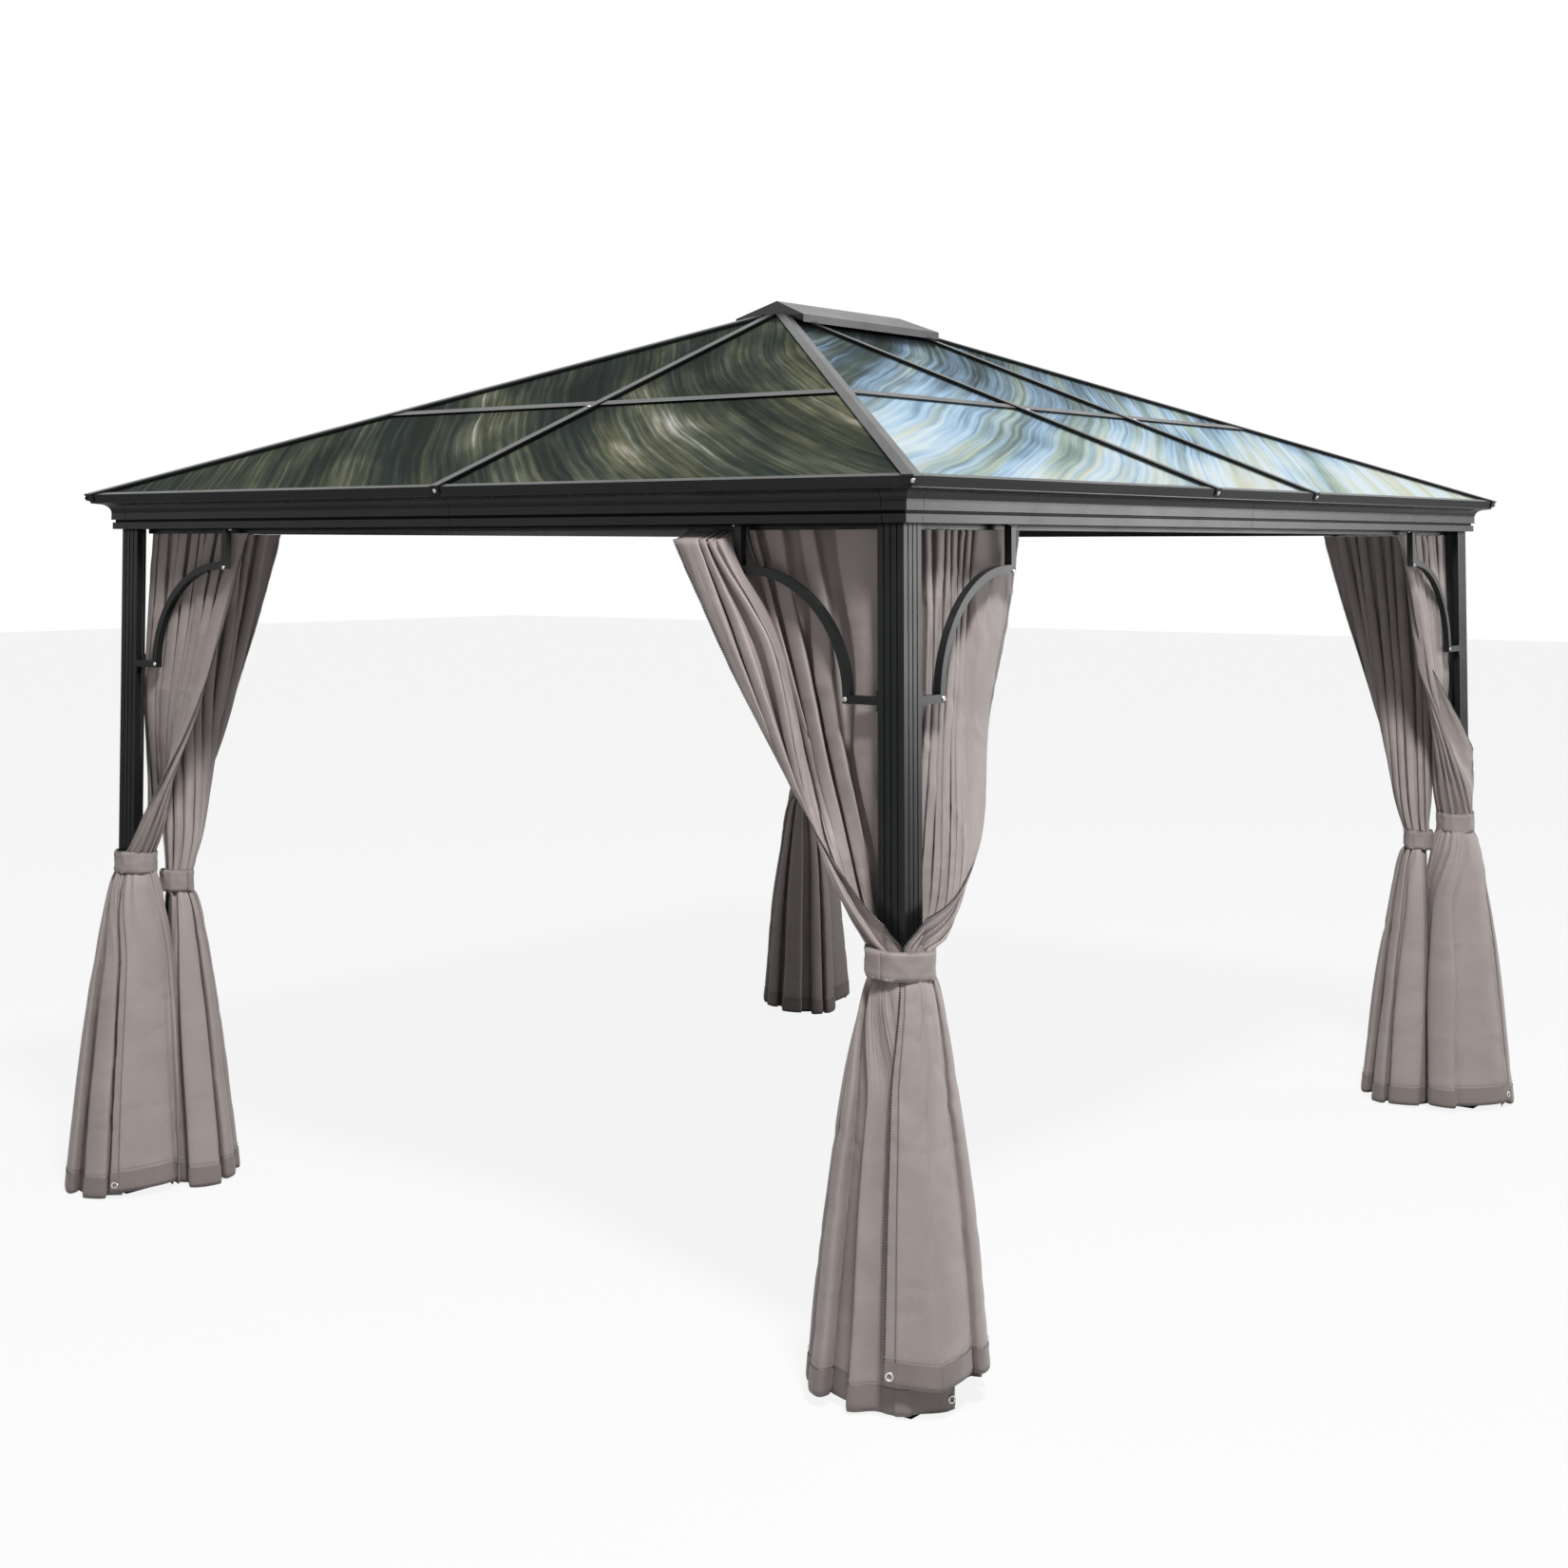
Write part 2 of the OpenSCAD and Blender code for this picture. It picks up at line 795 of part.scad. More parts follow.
// Room for the post and the two brackets of a corner, with a clearance all round
module hard_room() {
    translate([-seat, -seat, 0])
        cube([post_face + 2 * seat, post_leg + 2 * seat, clear_height]);
    translate([-seat, -seat, 0])
        cube([post_leg + 2 * seat, post_face + 2 * seat, clear_height]);
    bracket_low = clear_height - bracket_drop - bracket_r - flange_len / 2 - seat;
    bracket_far = post_face + bracket_leg + bracket_r + bracket_tail + flange_len;
    for (flip = [[0, 0, 0], [1, -1, 0]])
        mirror(flip)
            translate([post_face, -joint_tie_r, bracket_low])
                cube([bracket_far, joint_tie_r + bracket_bar + seat, clear_height]);
}

// Half of the corner, on the X side of its diagonal
module own_half() {
    rotate([0, 0, 45])
        translate([-far / 2, seat / 2, -1])
            cube([far, far, far]);
}

post_mid = [post_face / 2, post_face / 2];
// Direction and distance from the post to the tie of the curtain beside it
side_turn = 23;
side_reach = post_tie_r + side_tie_r + 4 * tie_t;
side_mid = post_mid + side_reach * [cos(side_turn), sin(side_turn)];
side_hem_mid = post_mid + 1.5 * side_reach * [cos(side_turn), sin(side_turn)];

// Ties as [middle, radius, height] and hems as [middle, half sizes, height]
joint_tie = [post_mid, joint_tie_r, joint_tie_z];
joint_hem_half = [joint_hem_wide, joint_hem_deep];
joint_hem_mid = (norm(joint_hem_half) / sqrt(2) - skirt_out) * [1, 1];
joint_hem = [joint_hem_mid, joint_hem_half, joint_hem_gap];
post_tie = [post_mid, post_tie_r, post_tie_z];
post_hem_r = post_face / 2 + skirt_out;
post_hem = [post_mid, [post_hem_r, post_hem_r], hem_gap];
side_tie = [side_mid, side_tie_r, side_tie_z];
side_hem = [side_hem_mid, [side_hem_r, side_hem_r], hem_gap];

// Curtain at the front left post, which shares its tie with its neighbour
module shared_curtain(reach) {
    difference() {
        curtain_body(reach, joint_tie, joint_hem);
        hard_room();
        own_half();
    }
}

// Curtain tied beside the post, along X of the corner frame
module beside_curtain(reach) {
    difference() {
        curtain_body(reach, side_tie, side_hem);
        hard_room();
    }
}

// Curtain tied round the post, along X, which gives way to its neighbour along Y
module wrapped_curtain(reach, neighbour_reach) {
    difference() {
        curtain_body(reach, post_tie, post_hem);
        hard_room();
        swap_sides() curtain_body(neighbour_reach, side_tie, side_hem, 2 * seat);
        swap_sides() tie_ring(side_tie, 2 * seat);
    }
}

// How far each curtain reaches from its post corner
reach_front_left_front = 505;
reach_front_left_side = 655;
reach_front_right_front = 500;
reach_front_right_side = 500;
reach_back_side = 530;
reach_back_back = 580;

module curtain_front_left_front() {
    color(cloth_colour) at_corner(-1, -1) shared_curtain(reach_front_left_front);
}

module curtain_front_left_side() {
    color(cloth_colour) at_corner(-1, -1) swap_sides() shared_curtain(reach_front_left_side);
}

module curtain_front_right_front() {
    color(cloth_colour)
        at_corner(1, -1)
            wrapped_curtain(reach_front_right_front, reach_front_right_side);
}

module curtain_front_right_side() {
    color(cloth_colour) at_corner(1, -1) swap_sides() beside_curtain(reach_front_right_side);
}

module curtain_back_side(sx) {
    color(cloth_colour)
        at_corner(sx, 1)
            swap_sides()
                wrapped_curtain(reach_back_side, reach_back_back);
}

module curtain_back_back(sx) {
    color(cloth_colour) at_corner(sx, 1) beside_curtain(reach_back_back);
}

// Tie band round a bundle
module tie_ring(tie, grow = 0) {
    translate([tie[0][0], tie[0][1], tie[2] - tie_h / 2 - grow])
        difference() {
            cylinder(r = tie[1] + seat + tie_t + grow, h = tie_h + 2 * grow);
            translate([0, 0, -1])
                cylinder(r = tie[1] + seat - grow, h = tie_h + 2 * grow + 2);
        }
}

module tie_bands() {
    color(tie_colour) {
        at_corner(-1, -1) tie_ring(joint_tie);
        at_corner(1, -1) {
            tie_ring(post_tie);
            swap_sides() tie_ring(side_tie);
        }
        for (sx = [-1, 1])
            at_corner(sx, 1) {
                tie_ring(post_tie);
                tie_ring(side_tie);
            }
    }
}

post(-1, -1);  // post_front_left
post(1, -1);  // post_front_right
post(-1, 1);  // post_back_left
post(1, 1);  // post_back_right
foot_plates();
beam(FRONT);  // beam_front
beam(RIGHT);  // beam_right
beam(BACK);  // beam_back
beam(LEFT);  // beam_left
cornice_corners();
eave_trim(FRONT);  // eave_trim_front
eave_trim(RIGHT);  // eave_trim_right
eave_trim(BACK);  // eave_trim_back
eave_trim(LEFT);  // eave_trim_left
hip(-1, -1, FRONT, LEFT);  // hip_front_left
hip(1, -1, RIGHT, FRONT);  // hip_front_right
hip(-1, 1, LEFT, BACK);  // hip_back_left
hip(1, 1, BACK, RIGHT);  // hip_back_right
rafters(FRONT);  // rafters_front
rafters(RIGHT);  // rafters_right
rafters(BACK);  // rafters_back
rafters(LEFT);  // rafters_left
purlins(FRONT);  // purlins_front
purlins(RIGHT);  // purlins_right
purlins(BACK);  // purlins_back
purlins(LEFT);  // purlins_left
panels(FRONT);  // panels_front
panels(RIGHT);  // panels_right
panels(BACK);  // panels_back
panels(LEFT);  // panels_left
ridge_beam();
ridge_hubs();
ridge_cap();
brackets(-1, -1);  // brackets_front_left
brackets(1, -1);  // brackets_front_right
brackets(-1, 1);  // brackets_back_left
brackets(1, 1);  // brackets_back_right
curtain_tracks();
curtain_front_left_front();
curtain_front_left_side();
curtain_front_right_front();
curtain_front_right_side();
curtain_back_back(-1);  // curtain_back_left_back
curtain_back_side(-1);  // curtain_back_left_side
curtain_back_back(1);  // curtain_back_right_back
curtain_back_side(1);  // curtain_back_right_side
tie_bands();
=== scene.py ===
# %% [markdown]
# # A garden gazebo with tied curtains
#
# The metalwork comes from the CAD model, already in place and to size. This script gives it a finish,
# hangs eight cloth curtains on it, adds the small hardware and sets up the photo's camera. Lengths
# are in metres, and the origin is on the ground under the middle of the roof.

# %% Load the frame
import math

import bmesh
import bpy
import numpy as np
from mathutils import Matrix, Vector


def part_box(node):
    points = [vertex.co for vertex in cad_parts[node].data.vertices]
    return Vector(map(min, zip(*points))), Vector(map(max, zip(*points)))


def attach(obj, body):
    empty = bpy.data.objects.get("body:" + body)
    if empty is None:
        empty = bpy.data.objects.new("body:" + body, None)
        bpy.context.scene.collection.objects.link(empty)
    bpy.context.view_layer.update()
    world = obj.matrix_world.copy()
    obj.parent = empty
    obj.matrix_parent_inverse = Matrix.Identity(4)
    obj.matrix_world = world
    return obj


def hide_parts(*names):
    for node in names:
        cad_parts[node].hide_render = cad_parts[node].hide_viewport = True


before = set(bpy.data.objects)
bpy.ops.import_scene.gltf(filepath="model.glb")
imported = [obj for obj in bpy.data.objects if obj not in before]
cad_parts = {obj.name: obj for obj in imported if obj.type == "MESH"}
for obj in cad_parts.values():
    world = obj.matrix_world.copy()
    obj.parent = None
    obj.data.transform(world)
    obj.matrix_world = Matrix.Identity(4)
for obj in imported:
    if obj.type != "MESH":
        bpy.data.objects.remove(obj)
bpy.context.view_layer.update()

post_low, post_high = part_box("post_front_right")
POST_X, POST_Y = post_high[0], -post_low[1]
print("frame loaded:", len(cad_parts), "nodes, posts at", round(POST_X, 3), round(POST_Y, 3))

# %% [markdown]
# ## Camera
#
# A camera can be set by eye or solved from the picture. Here the straight edges of the roof and the
# posts were measured, so the place, the lens and the shift of the sensor all come from the solution.
# A shift, unlike a tilt, keeps upright posts upright in the frame.

# %% Set the camera
CAMERA_AT = Vector((-5.9229, -4.2348, 1.9031))
CAMERA_YAW, CAMERA_PITCH = 0.90998, 0.04383

forward = Vector((math.sin(CAMERA_YAW) * math.cos(CAMERA_PITCH),
                  math.cos(CAMERA_YAW) * math.cos(CAMERA_PITCH), math.sin(CAMERA_PITCH)))
rightward = Vector((math.cos(CAMERA_YAW), -math.sin(CAMERA_YAW), 0.0))
upward = rightward.cross(forward)

scene = bpy.context.scene
camera_data = bpy.data.cameras.new("camera")
camera_data.lens = 51.22
camera_data.sensor_width = 36.0
camera_data.shift_x = 0.0209
camera_data.shift_y = -0.2130
camera = bpy.data.objects.new("camera", camera_data)
camera.matrix_world = Matrix((
    (rightward.x, upward.x, -forward.x, CAMERA_AT.x),
    (rightward.y, upward.y, -forward.y, CAMERA_AT.y),
    (rightward.z, upward.z, -forward.z, CAMERA_AT.z),
    (0.0, 0.0, 0.0, 1.0)))
scene.collection.objects.link(camera)
scene.camera = camera
print("camera", round(camera_data.lens, 1), "mm, shift", camera_data.shift_x, camera_data.shift_y)

# %% [markdown]
# ## Floor and light
#
# A pale floor and a pale world keep the background plain. A world could be one even white, but then
# it would flatten every fold. Here it looks white to the camera, in reflections and through the sheets,
# and lights the scene with less, so that the lamps can model the cloth. A light path node tells these
# rays apart.

# %% World
WORLD_FILL = 0.22

world = bpy.data.worlds.new("studio")
scene.world = world
world.use_nodes = True
world_tree = world.node_tree
world_tree.nodes.clear()
ray = world_tree.nodes.new("ShaderNodeLightPath")
seen = world_tree.nodes.new("ShaderNodeMath")
seen.operation = "MAXIMUM"
clear = world_tree.nodes.new("ShaderNodeMath")
clear.operation = "MAXIMUM"
strength = world_tree.nodes.new("ShaderNodeMapRange")
strength.inputs["To Min"].default_value = WORLD_FILL
strength.inputs["To Max"].default_value = 1.0
sky = world_tree.nodes.new("ShaderNodeBackground")
sky.inputs["Color"].default_value = (1, 1, 1, 1)
out = world_tree.nodes.new("ShaderNodeOutputWorld")
world_tree.links.new(ray.outputs["Is Camera Ray"], seen.inputs[0])
world_tree.links.new(ray.outputs["Is Glossy Ray"], seen.inputs[1])
world_tree.links.new(seen.outputs[0], clear.inputs[0])
world_tree.links.new(ray.outputs["Is Transmission Ray"], clear.inputs[1])
world_tree.links.new(clear.outputs[0], strength.inputs["Value"])
world_tree.links.new(strength.outputs["Result"], sky.inputs["Strength"])
world_tree.links.new(sky.outputs["Background"], out.inputs["Surface"])
print("world fill", WORLD_FILL)

# %% [markdown]
# To the camera the floor is mostly a white glow, so its far edge hardly shows and shadows on it are
# faint. To all other rays it is a plain grey, which throws a soft light up at the cloth.

# %% Floor
FLOOR_HALF = 40
FLOOR_GLOW = 0.88

floor_mesh = bpy.data.meshes.new("floor")
floor_corners = [(x * FLOOR_HALF, y * FLOOR_HALF, 0) for x, y in ((-1, -1), (1, -1), (1, 1), (-1, 1))]
floor_mesh.from_pydata(floor_corners, [], [(0, 1, 2, 3)])
floor = bpy.data.objects.new("floor", floor_mesh)
scene.collection.objects.link(floor)
floor_look = bpy.data.materials.new("floor")
floor_look.use_nodes = True
floor_tree = floor_look.node_tree
floor_shader = floor_tree.nodes["Principled BSDF"]
floor_shader.inputs["Base Color"].default_value = (0.6, 0.6, 0.6, 1)
floor_shader.inputs["Roughness"].default_value = 0.9
floor_glow = floor_tree.nodes.new("ShaderNodeEmission")
floor_ray = floor_tree.nodes.new("ShaderNodeLightPath")
floor_share = floor_tree.nodes.new("ShaderNodeMath")
floor_share.operation = "MULTIPLY"
floor_share.inputs[1].default_value = FLOOR_GLOW
floor_mix = floor_tree.nodes.new("ShaderNodeMixShader")
floor_tree.links.new(floor_ray.outputs["Is Camera Ray"], floor_share.inputs[0])
floor_tree.links.new(floor_share.outputs[0], floor_mix.inputs["Fac"])
floor_tree.links.new(floor_shader.outputs["BSDF"], floor_mix.inputs[1])
floor_tree.links.new(floor_glow.outputs["Emission"], floor_mix.inputs[2])
floor_tree.links.new(floor_mix.outputs["Shader"], floor_tree.nodes["Material Output"].inputs["Surface"])
floor_mesh.materials.append(floor_look)
print("floor glow", FLOOR_GLOW)

# %% [markdown]
# Two square lamps do the rest. The key lamp stands high at the near corner, so that the roof shades the
# heads of the curtains. A wide card low on the front side is there for the sheen that it lays along the
# front faces.

# %% Lamps
def area_lamp(name, place, target, size, power):
    """Adds a square lamp that faces the target."""
    data = bpy.data.lights.new(name, "AREA")
    data.size = size
    data.energy = power
    lamp = bpy.data.objects.new(name, data)
    lamp.location = place
    lamp.rotation_euler = (Vector(target) - Vector(place)).to_track_quat("-Z", "Y").to_euler()
    scene.collection.objects.link(lamp)


area_lamp("key", (-4.6, -5.0, 9.2), (0, 0, 1.0), 1.3, 1250)
area_lamp("sky_card", (8.0, -7.0, 2.5), (0, 0, 1.6), 4.0, 260)
scene.view_settings.view_transform = "Standard"
print("stage set:", len(bpy.data.lights), "lamps")

# %% [markdown]
# ## Materials
#
# Every finish is made of nodes, so it stays sharp at any distance. The coordinates are the object's
# own, in metres, or the cloth's UV map, also in metres, so a scale of 1000 means one millimetre.

# %% Node helpers
def new_material(name):
    """Returns a material with its node tree, its principled shader and a link function."""
    material = bpy.data.materials.new(name)
    material.use_nodes = True
    tree = material.node_tree
    return material, tree, tree.nodes["Principled BSDF"], tree.links.new


def noise(tree, vector, scale, detail=3.0, rough=0.5):
    """Adds a noise texture and returns its value socket."""
    node = tree.nodes.new("ShaderNodeTexNoise")
    node.inputs["Scale"].default_value = scale
    node.inputs["Detail"].default_value = detail
    node.inputs["Roughness"].default_value = rough
    tree.links.new(vector, node.inputs["Vector"])
    return node.outputs[0]


def ramp(tree, value, stops):
    """Maps a value to colours; stops are (place, colour) pairs."""
    node = tree.nodes.new("ShaderNodeValToRGB")
    while len(node.color_ramp.elements) < len(stops):
        node.color_ramp.elements.new(0.5)
    for element, (place, colour) in zip(node.color_ramp.elements, stops):
        element.position = place
        element.color = (*colour, 1)
    tree.links.new(value, node.inputs["Fac"])
    return node.outputs["Color"]


def maths(tree, operation, first, second):
    """Adds a math node; either operand is a socket or a number."""
    node = tree.nodes.new("ShaderNodeMath")
    node.operation = operation
    for socket, operand in zip(node.inputs, (first, second)):
        if isinstance(operand, (int, float)):
            socket.default_value = operand
        else:
            tree.links.new(operand, socket)
    return node.outputs[0]


def bump(tree, height, strength, distance, normal=None):
    """Adds a bump node over an earlier normal, if there is one."""
    node = tree.nodes.new("ShaderNodeBump")
    node.inputs["Strength"].default_value = strength
    node.inputs["Distance"].default_value = distance
    tree.links.new(height, node.inputs["Height"])
    if normal is not None:
        tree.links.new(normal, node.inputs["Normal"])
    return node.outputs["Normal"]


def object_coords(tree):
    return tree.nodes.new("ShaderNodeTexCoord").outputs["Object"]


def uv_coords(tree):
    return tree.nodes.new("ShaderNodeTexCoord").outputs["UV"]


print("node helpers ready")

# %% [markdown]
# The powder coat is a charcoal satin. It could be one flat colour, but real paint is never evenly clean.
# A very fine noise gives it the slight orange peel of a baked coat, and a broad one varies how dull it
# is. Ambient occlusion paints shade into narrow grooves: it darkens the coat's colour there and takes out its
# sheen, so that the flutes read as lines.

# %% Powder coat and hardware
def powder_coat():
    material, tree, shader, link = new_material("powder_coat")
    place = object_coords(tree)
    # Painted shade: ambient occlusion darkens the colour and the sheen in grooves.
    crevice_painted_shade = tree.nodes.new("ShaderNodeAmbientOcclusion")
    crevice_painted_shade.inputs["Distance"].default_value = 0.012
    link(ramp(tree, noise(tree, place, 3.0), [(0.3, (0.009, 0.010, 0.010)), (0.75, (0.016, 0.017, 0.017))]),
         crevice_painted_shade.inputs["Color"])
    link(crevice_painted_shade.outputs["Color"], shader.inputs["Base Color"])
    link(maths(tree, "MULTIPLY", maths(tree, "POWER", crevice_painted_shade.outputs["AO"], 3.5), 0.24),
         shader.inputs["Specular IOR Level"])
    rough = maths(tree, "MULTIPLY_ADD", noise(tree, place, 7.0), 0.16)
    rough.node.inputs[2].default_value = 0.18
    link(rough, shader.inputs["Roughness"])
    link(bump(tree, noise(tree, place, 700.0, 2.0), 0.04, 0.0005), shader.inputs["Normal"])
    return material


def bright_steel():
    material, tree, shader, link = new_material("bright_steel")
    shader.inputs["Metallic"].default_value = 1.0
    shader.inputs["Base Color"].default_value = (0.62, 0.62, 0.6, 1)
    link(maths(tree, "MULTIPLY", noise(tree, object_coords(tree), 600.0), 0.5), shader.inputs["Roughness"])
    return material


def black_plastic():
    material, tree, shader, link = new_material("black_plastic")
    shader.inputs["Base Color"].default_value = (0.03, 0.03, 0.03, 1)
    link(maths(tree, "MULTIPLY", noise(tree, object_coords(tree), 300.0), 0.8), shader.inputs["Roughness"])
    return material


POWDER, STEEL, PLASTIC = powder_coat(), bright_steel(), black_plastic()
print("made", POWDER.name, STEEL.name, PLASTIC.name)

# %% [markdown]
# The smoked panels are dark and glossy. Over them lies a painted reflection in the colour of the gloss: fine
# streaks that sweep up the slope in wide arcs. A noise in polar coordinates about a point off the eave makes
# them: it changes fast with the distance and slowly with the angle. A broad noise decides where the painted
# reflection turns pale. The sheets of the long sides carry a brighter, bluer painted reflection than those of
# the short sides, painted paler towards the eave. As with any gloss, the sheen is strongest at a slant. Seen
# square on, a sheet is dark and lets a little light through.

# %% Painted reflection streaks of the sheets
WANDER = 0.09
MID_SLOPE = 2.35


def polar_place(tree, place, centre):
    """Distance and angle about a centre on the plan, with a slight wander."""
    wander = tree.nodes.new("ShaderNodeTexNoise")
    wander.inputs["Scale"].default_value = 1.1
    tree.links.new(place, wander.inputs["Vector"])
    moved = tree.nodes.new("ShaderNodeVectorMath")
    moved.operation = "MULTIPLY_ADD"
    moved.inputs[1].default_value = (WANDER, WANDER, 0.0)
    tree.links.new(wander.outputs["Color"], moved.inputs[0])
    tree.links.new(place, moved.inputs[2])
    offset = tree.nodes.new("ShaderNodeVectorMath")
    offset.operation = "SUBTRACT"
    offset.inputs[1].default_value = (*centre, 0.0)
    tree.links.new(moved.outputs[0], offset.inputs[0])
    parts = tree.nodes.new("ShaderNodeSeparateXYZ")
    tree.links.new(offset.outputs[0], parts.inputs[0])
    squares = [maths(tree, "POWER", parts.outputs[axis], 2.0) for axis in (0, 1)]
    distance = maths(tree, "SQRT", maths(tree, "ADD", *squares), 0.0)
    return distance, maths(tree, "ARCTAN2", parts.outputs[1], parts.outputs[0])


def streaks(tree, polar, fine, slow, detail):
    """Noise that changes fast with the distance and slowly with the angle."""
    spot = tree.nodes.new("ShaderNodeCombineXYZ")
    for axis, (measure, rate) in enumerate(zip(polar, (fine, slow))):
        tree.links.new(maths(tree, "MULTIPLY", measure, rate), spot.inputs[axis])
    return noise(tree, spot.outputs[0], 1.0, detail, 0.6)


def painted_reflection_colour(tree, place, centre, stops, paler, warm):
    """Painted reflection colour of the sheen; paler gives its gain for each metre down the slope and along X.
    """
    polar = polar_place(tree, place, centre)
    parts = tree.nodes.new("ShaderNodeSeparateXYZ")
    tree.links.new(place, parts.inputs[0])
    terms = [maths(tree, "MULTIPLY", streaks(tree, polar, 5.5, 4.0, 4.0), 0.56),
             maths(tree, "MULTIPLY", streaks(tree, polar, 70.0, 5.0, 3.0), 0.30),
             maths(tree, "MULTIPLY", noise(tree, place, 1.1, 2.0), 0.22),
             maths(tree, "MULTIPLY", maths(tree, "SUBTRACT", MID_SLOPE, parts.outputs[2]), paler[0]),
             maths(tree, "MULTIPLY", parts.outputs[0], paler[1])]
    tone = terms[0]
    for term in terms[1:]:
        tone = maths(tree, "ADD", tone, term)
    tint = tree.nodes.new("ShaderNodeMix")
    tint.data_type, tint.blend_type = "RGBA", "MULTIPLY"
    tint.inputs["Factor"].default_value = 1.0
    tree.links.new(ramp(tree, tone, stops), tint.inputs["A"])
    warmth = ramp(tree, streaks(tree, polar, 11.0, 3.0, 3.0), [(0.46, (1, 1, 1)), (0.60, warm)])
    tree.links.new(warmth, tint.inputs["B"])
    return tint.outputs["Result"]


print("streaks wander by", WANDER, "m")

# %% [markdown]
# A sheet is then three shaders in two mixes. A dark body and a clear one give the smoked plastic, and a
# glossy one, coloured by the painted reflection streaks, lies over it, by the slant of the view.

# %% Smoked panels
def smoked_panel(name, centre, stops, paler, warm):
    material, tree, shader, link = new_material(name)
    place = object_coords(tree)
    shine = tree.nodes.new("ShaderNodeBsdfGlossy")
    shine.inputs["Roughness"].default_value = 0.14
    # The gloss takes the painted reflection colour: streaks, pale patches and warm tints.
    link(painted_reflection_colour(tree, place, centre, stops, paler, warm), shine.inputs["Color"])
    link(bump(tree, noise(tree, place, 14.0, 2.0), 0.05, 0.004), shine.inputs["Normal"])
    shader.inputs["Base Color"].default_value = (0.012, 0.015, 0.013, 1)
    shader.inputs["Roughness"].default_value = 0.3
    shader.inputs["Specular IOR Level"].default_value = 0.1
    through = tree.nodes.new("ShaderNodeBsdfTransparent")
    through.inputs["Color"].default_value = (0.50, 0.53, 0.48, 1)
    smoked = tree.nodes.new("ShaderNodeMixShader")
    smoked.inputs["Fac"].default_value = 0.22
    link(shader.outputs["BSDF"], smoked.inputs[1])
    link(through.outputs["BSDF"], smoked.inputs[2])
    slant = tree.nodes.new("ShaderNodeLayerWeight")
    slant.inputs["Blend"].default_value = 0.5
    grazing = maths(tree, "MULTIPLY_ADD", slant.outputs["Facing"], 1.05)
    grazing.node.inputs[2].default_value = 0.16
    mix = tree.nodes.new("ShaderNodeMixShader")
    link(maths(tree, "MINIMUM", grazing, 0.88), mix.inputs["Fac"])
    link(smoked.outputs["Shader"], mix.inputs[1])
    link(shine.outputs["BSDF"], mix.inputs[2])
    link(mix.outputs["Shader"], tree.nodes["Material Output"].inputs["Surface"])
    return material


# Two copies with different painted reflections: a dim, olive one for the short sides, and a bright blue-white
# one, painted paler towards the eave, for the long sides.
DIM_REFLECTION_PANEL = smoked_panel("smoked_panel_dim_reflection", (2.2, -3.42), [
    (0.38, (0.011, 0.017, 0.016)), (0.49, (0.025, 0.034, 0.030)), (0.56, (0.066, 0.080, 0.056)),
    (0.62, (0.160, 0.175, 0.125)), (0.72, (0.64, 0.63, 0.60))], (0.0, 0.0), (1.0, 0.92, 0.82))
BRIGHT_REFLECTION_PANEL = smoked_panel("smoked_panel_bright_reflection", (-4.7, 7.4), [
    (0.36, (0.036, 0.055, 0.064)), (0.45, (0.100, 0.150, 0.185)), (0.53, (0.28, 0.41, 0.54)),
    (0.60, (0.50, 0.71, 0.90)), (0.69, (0.82, 0.94, 1.0))], (0.47, 0.030), (0.90, 0.80, 0.56))
print("made", DIM_REFLECTION_PANEL.name, BRIGHT_REFLECTION_PANEL.name)

# %% [markdown]
# The cloth is a thin taupe weave with a faint sheen. Two waves at right angles on the UV map make the
# threads. A photo of cloth would show its own folds, and these waves follow the ones drawn below. The
# straight creases across and along the cloth are left from its packing. The hem and the band down the
# leading edge are a little darker, because the cloth is double there.

# %% Curtain cloth
EDGE_BAND = 0.040
THREADS = 4200.0
BAG_FOLDS = (0.36, 0.31)
CREASE_HALF = 0.020


def crease_lines(tree, coordinate, pitch, width):
    """Ridges at a regular pitch along one UV coordinate, 1 on the line and 0 a width away."""
    cell = maths(tree, "FRACT", maths(tree, "DIVIDE", coordinate, pitch), 0.0)
    away = maths(tree, "ABSOLUTE", maths(tree, "SUBTRACT", cell, 0.5), 0.0)
    slope = maths(tree, "MINIMUM", maths(tree, "MULTIPLY", away, pitch / width), 1.0)
    return maths(tree, "SUBTRACT", 1.0, slope)


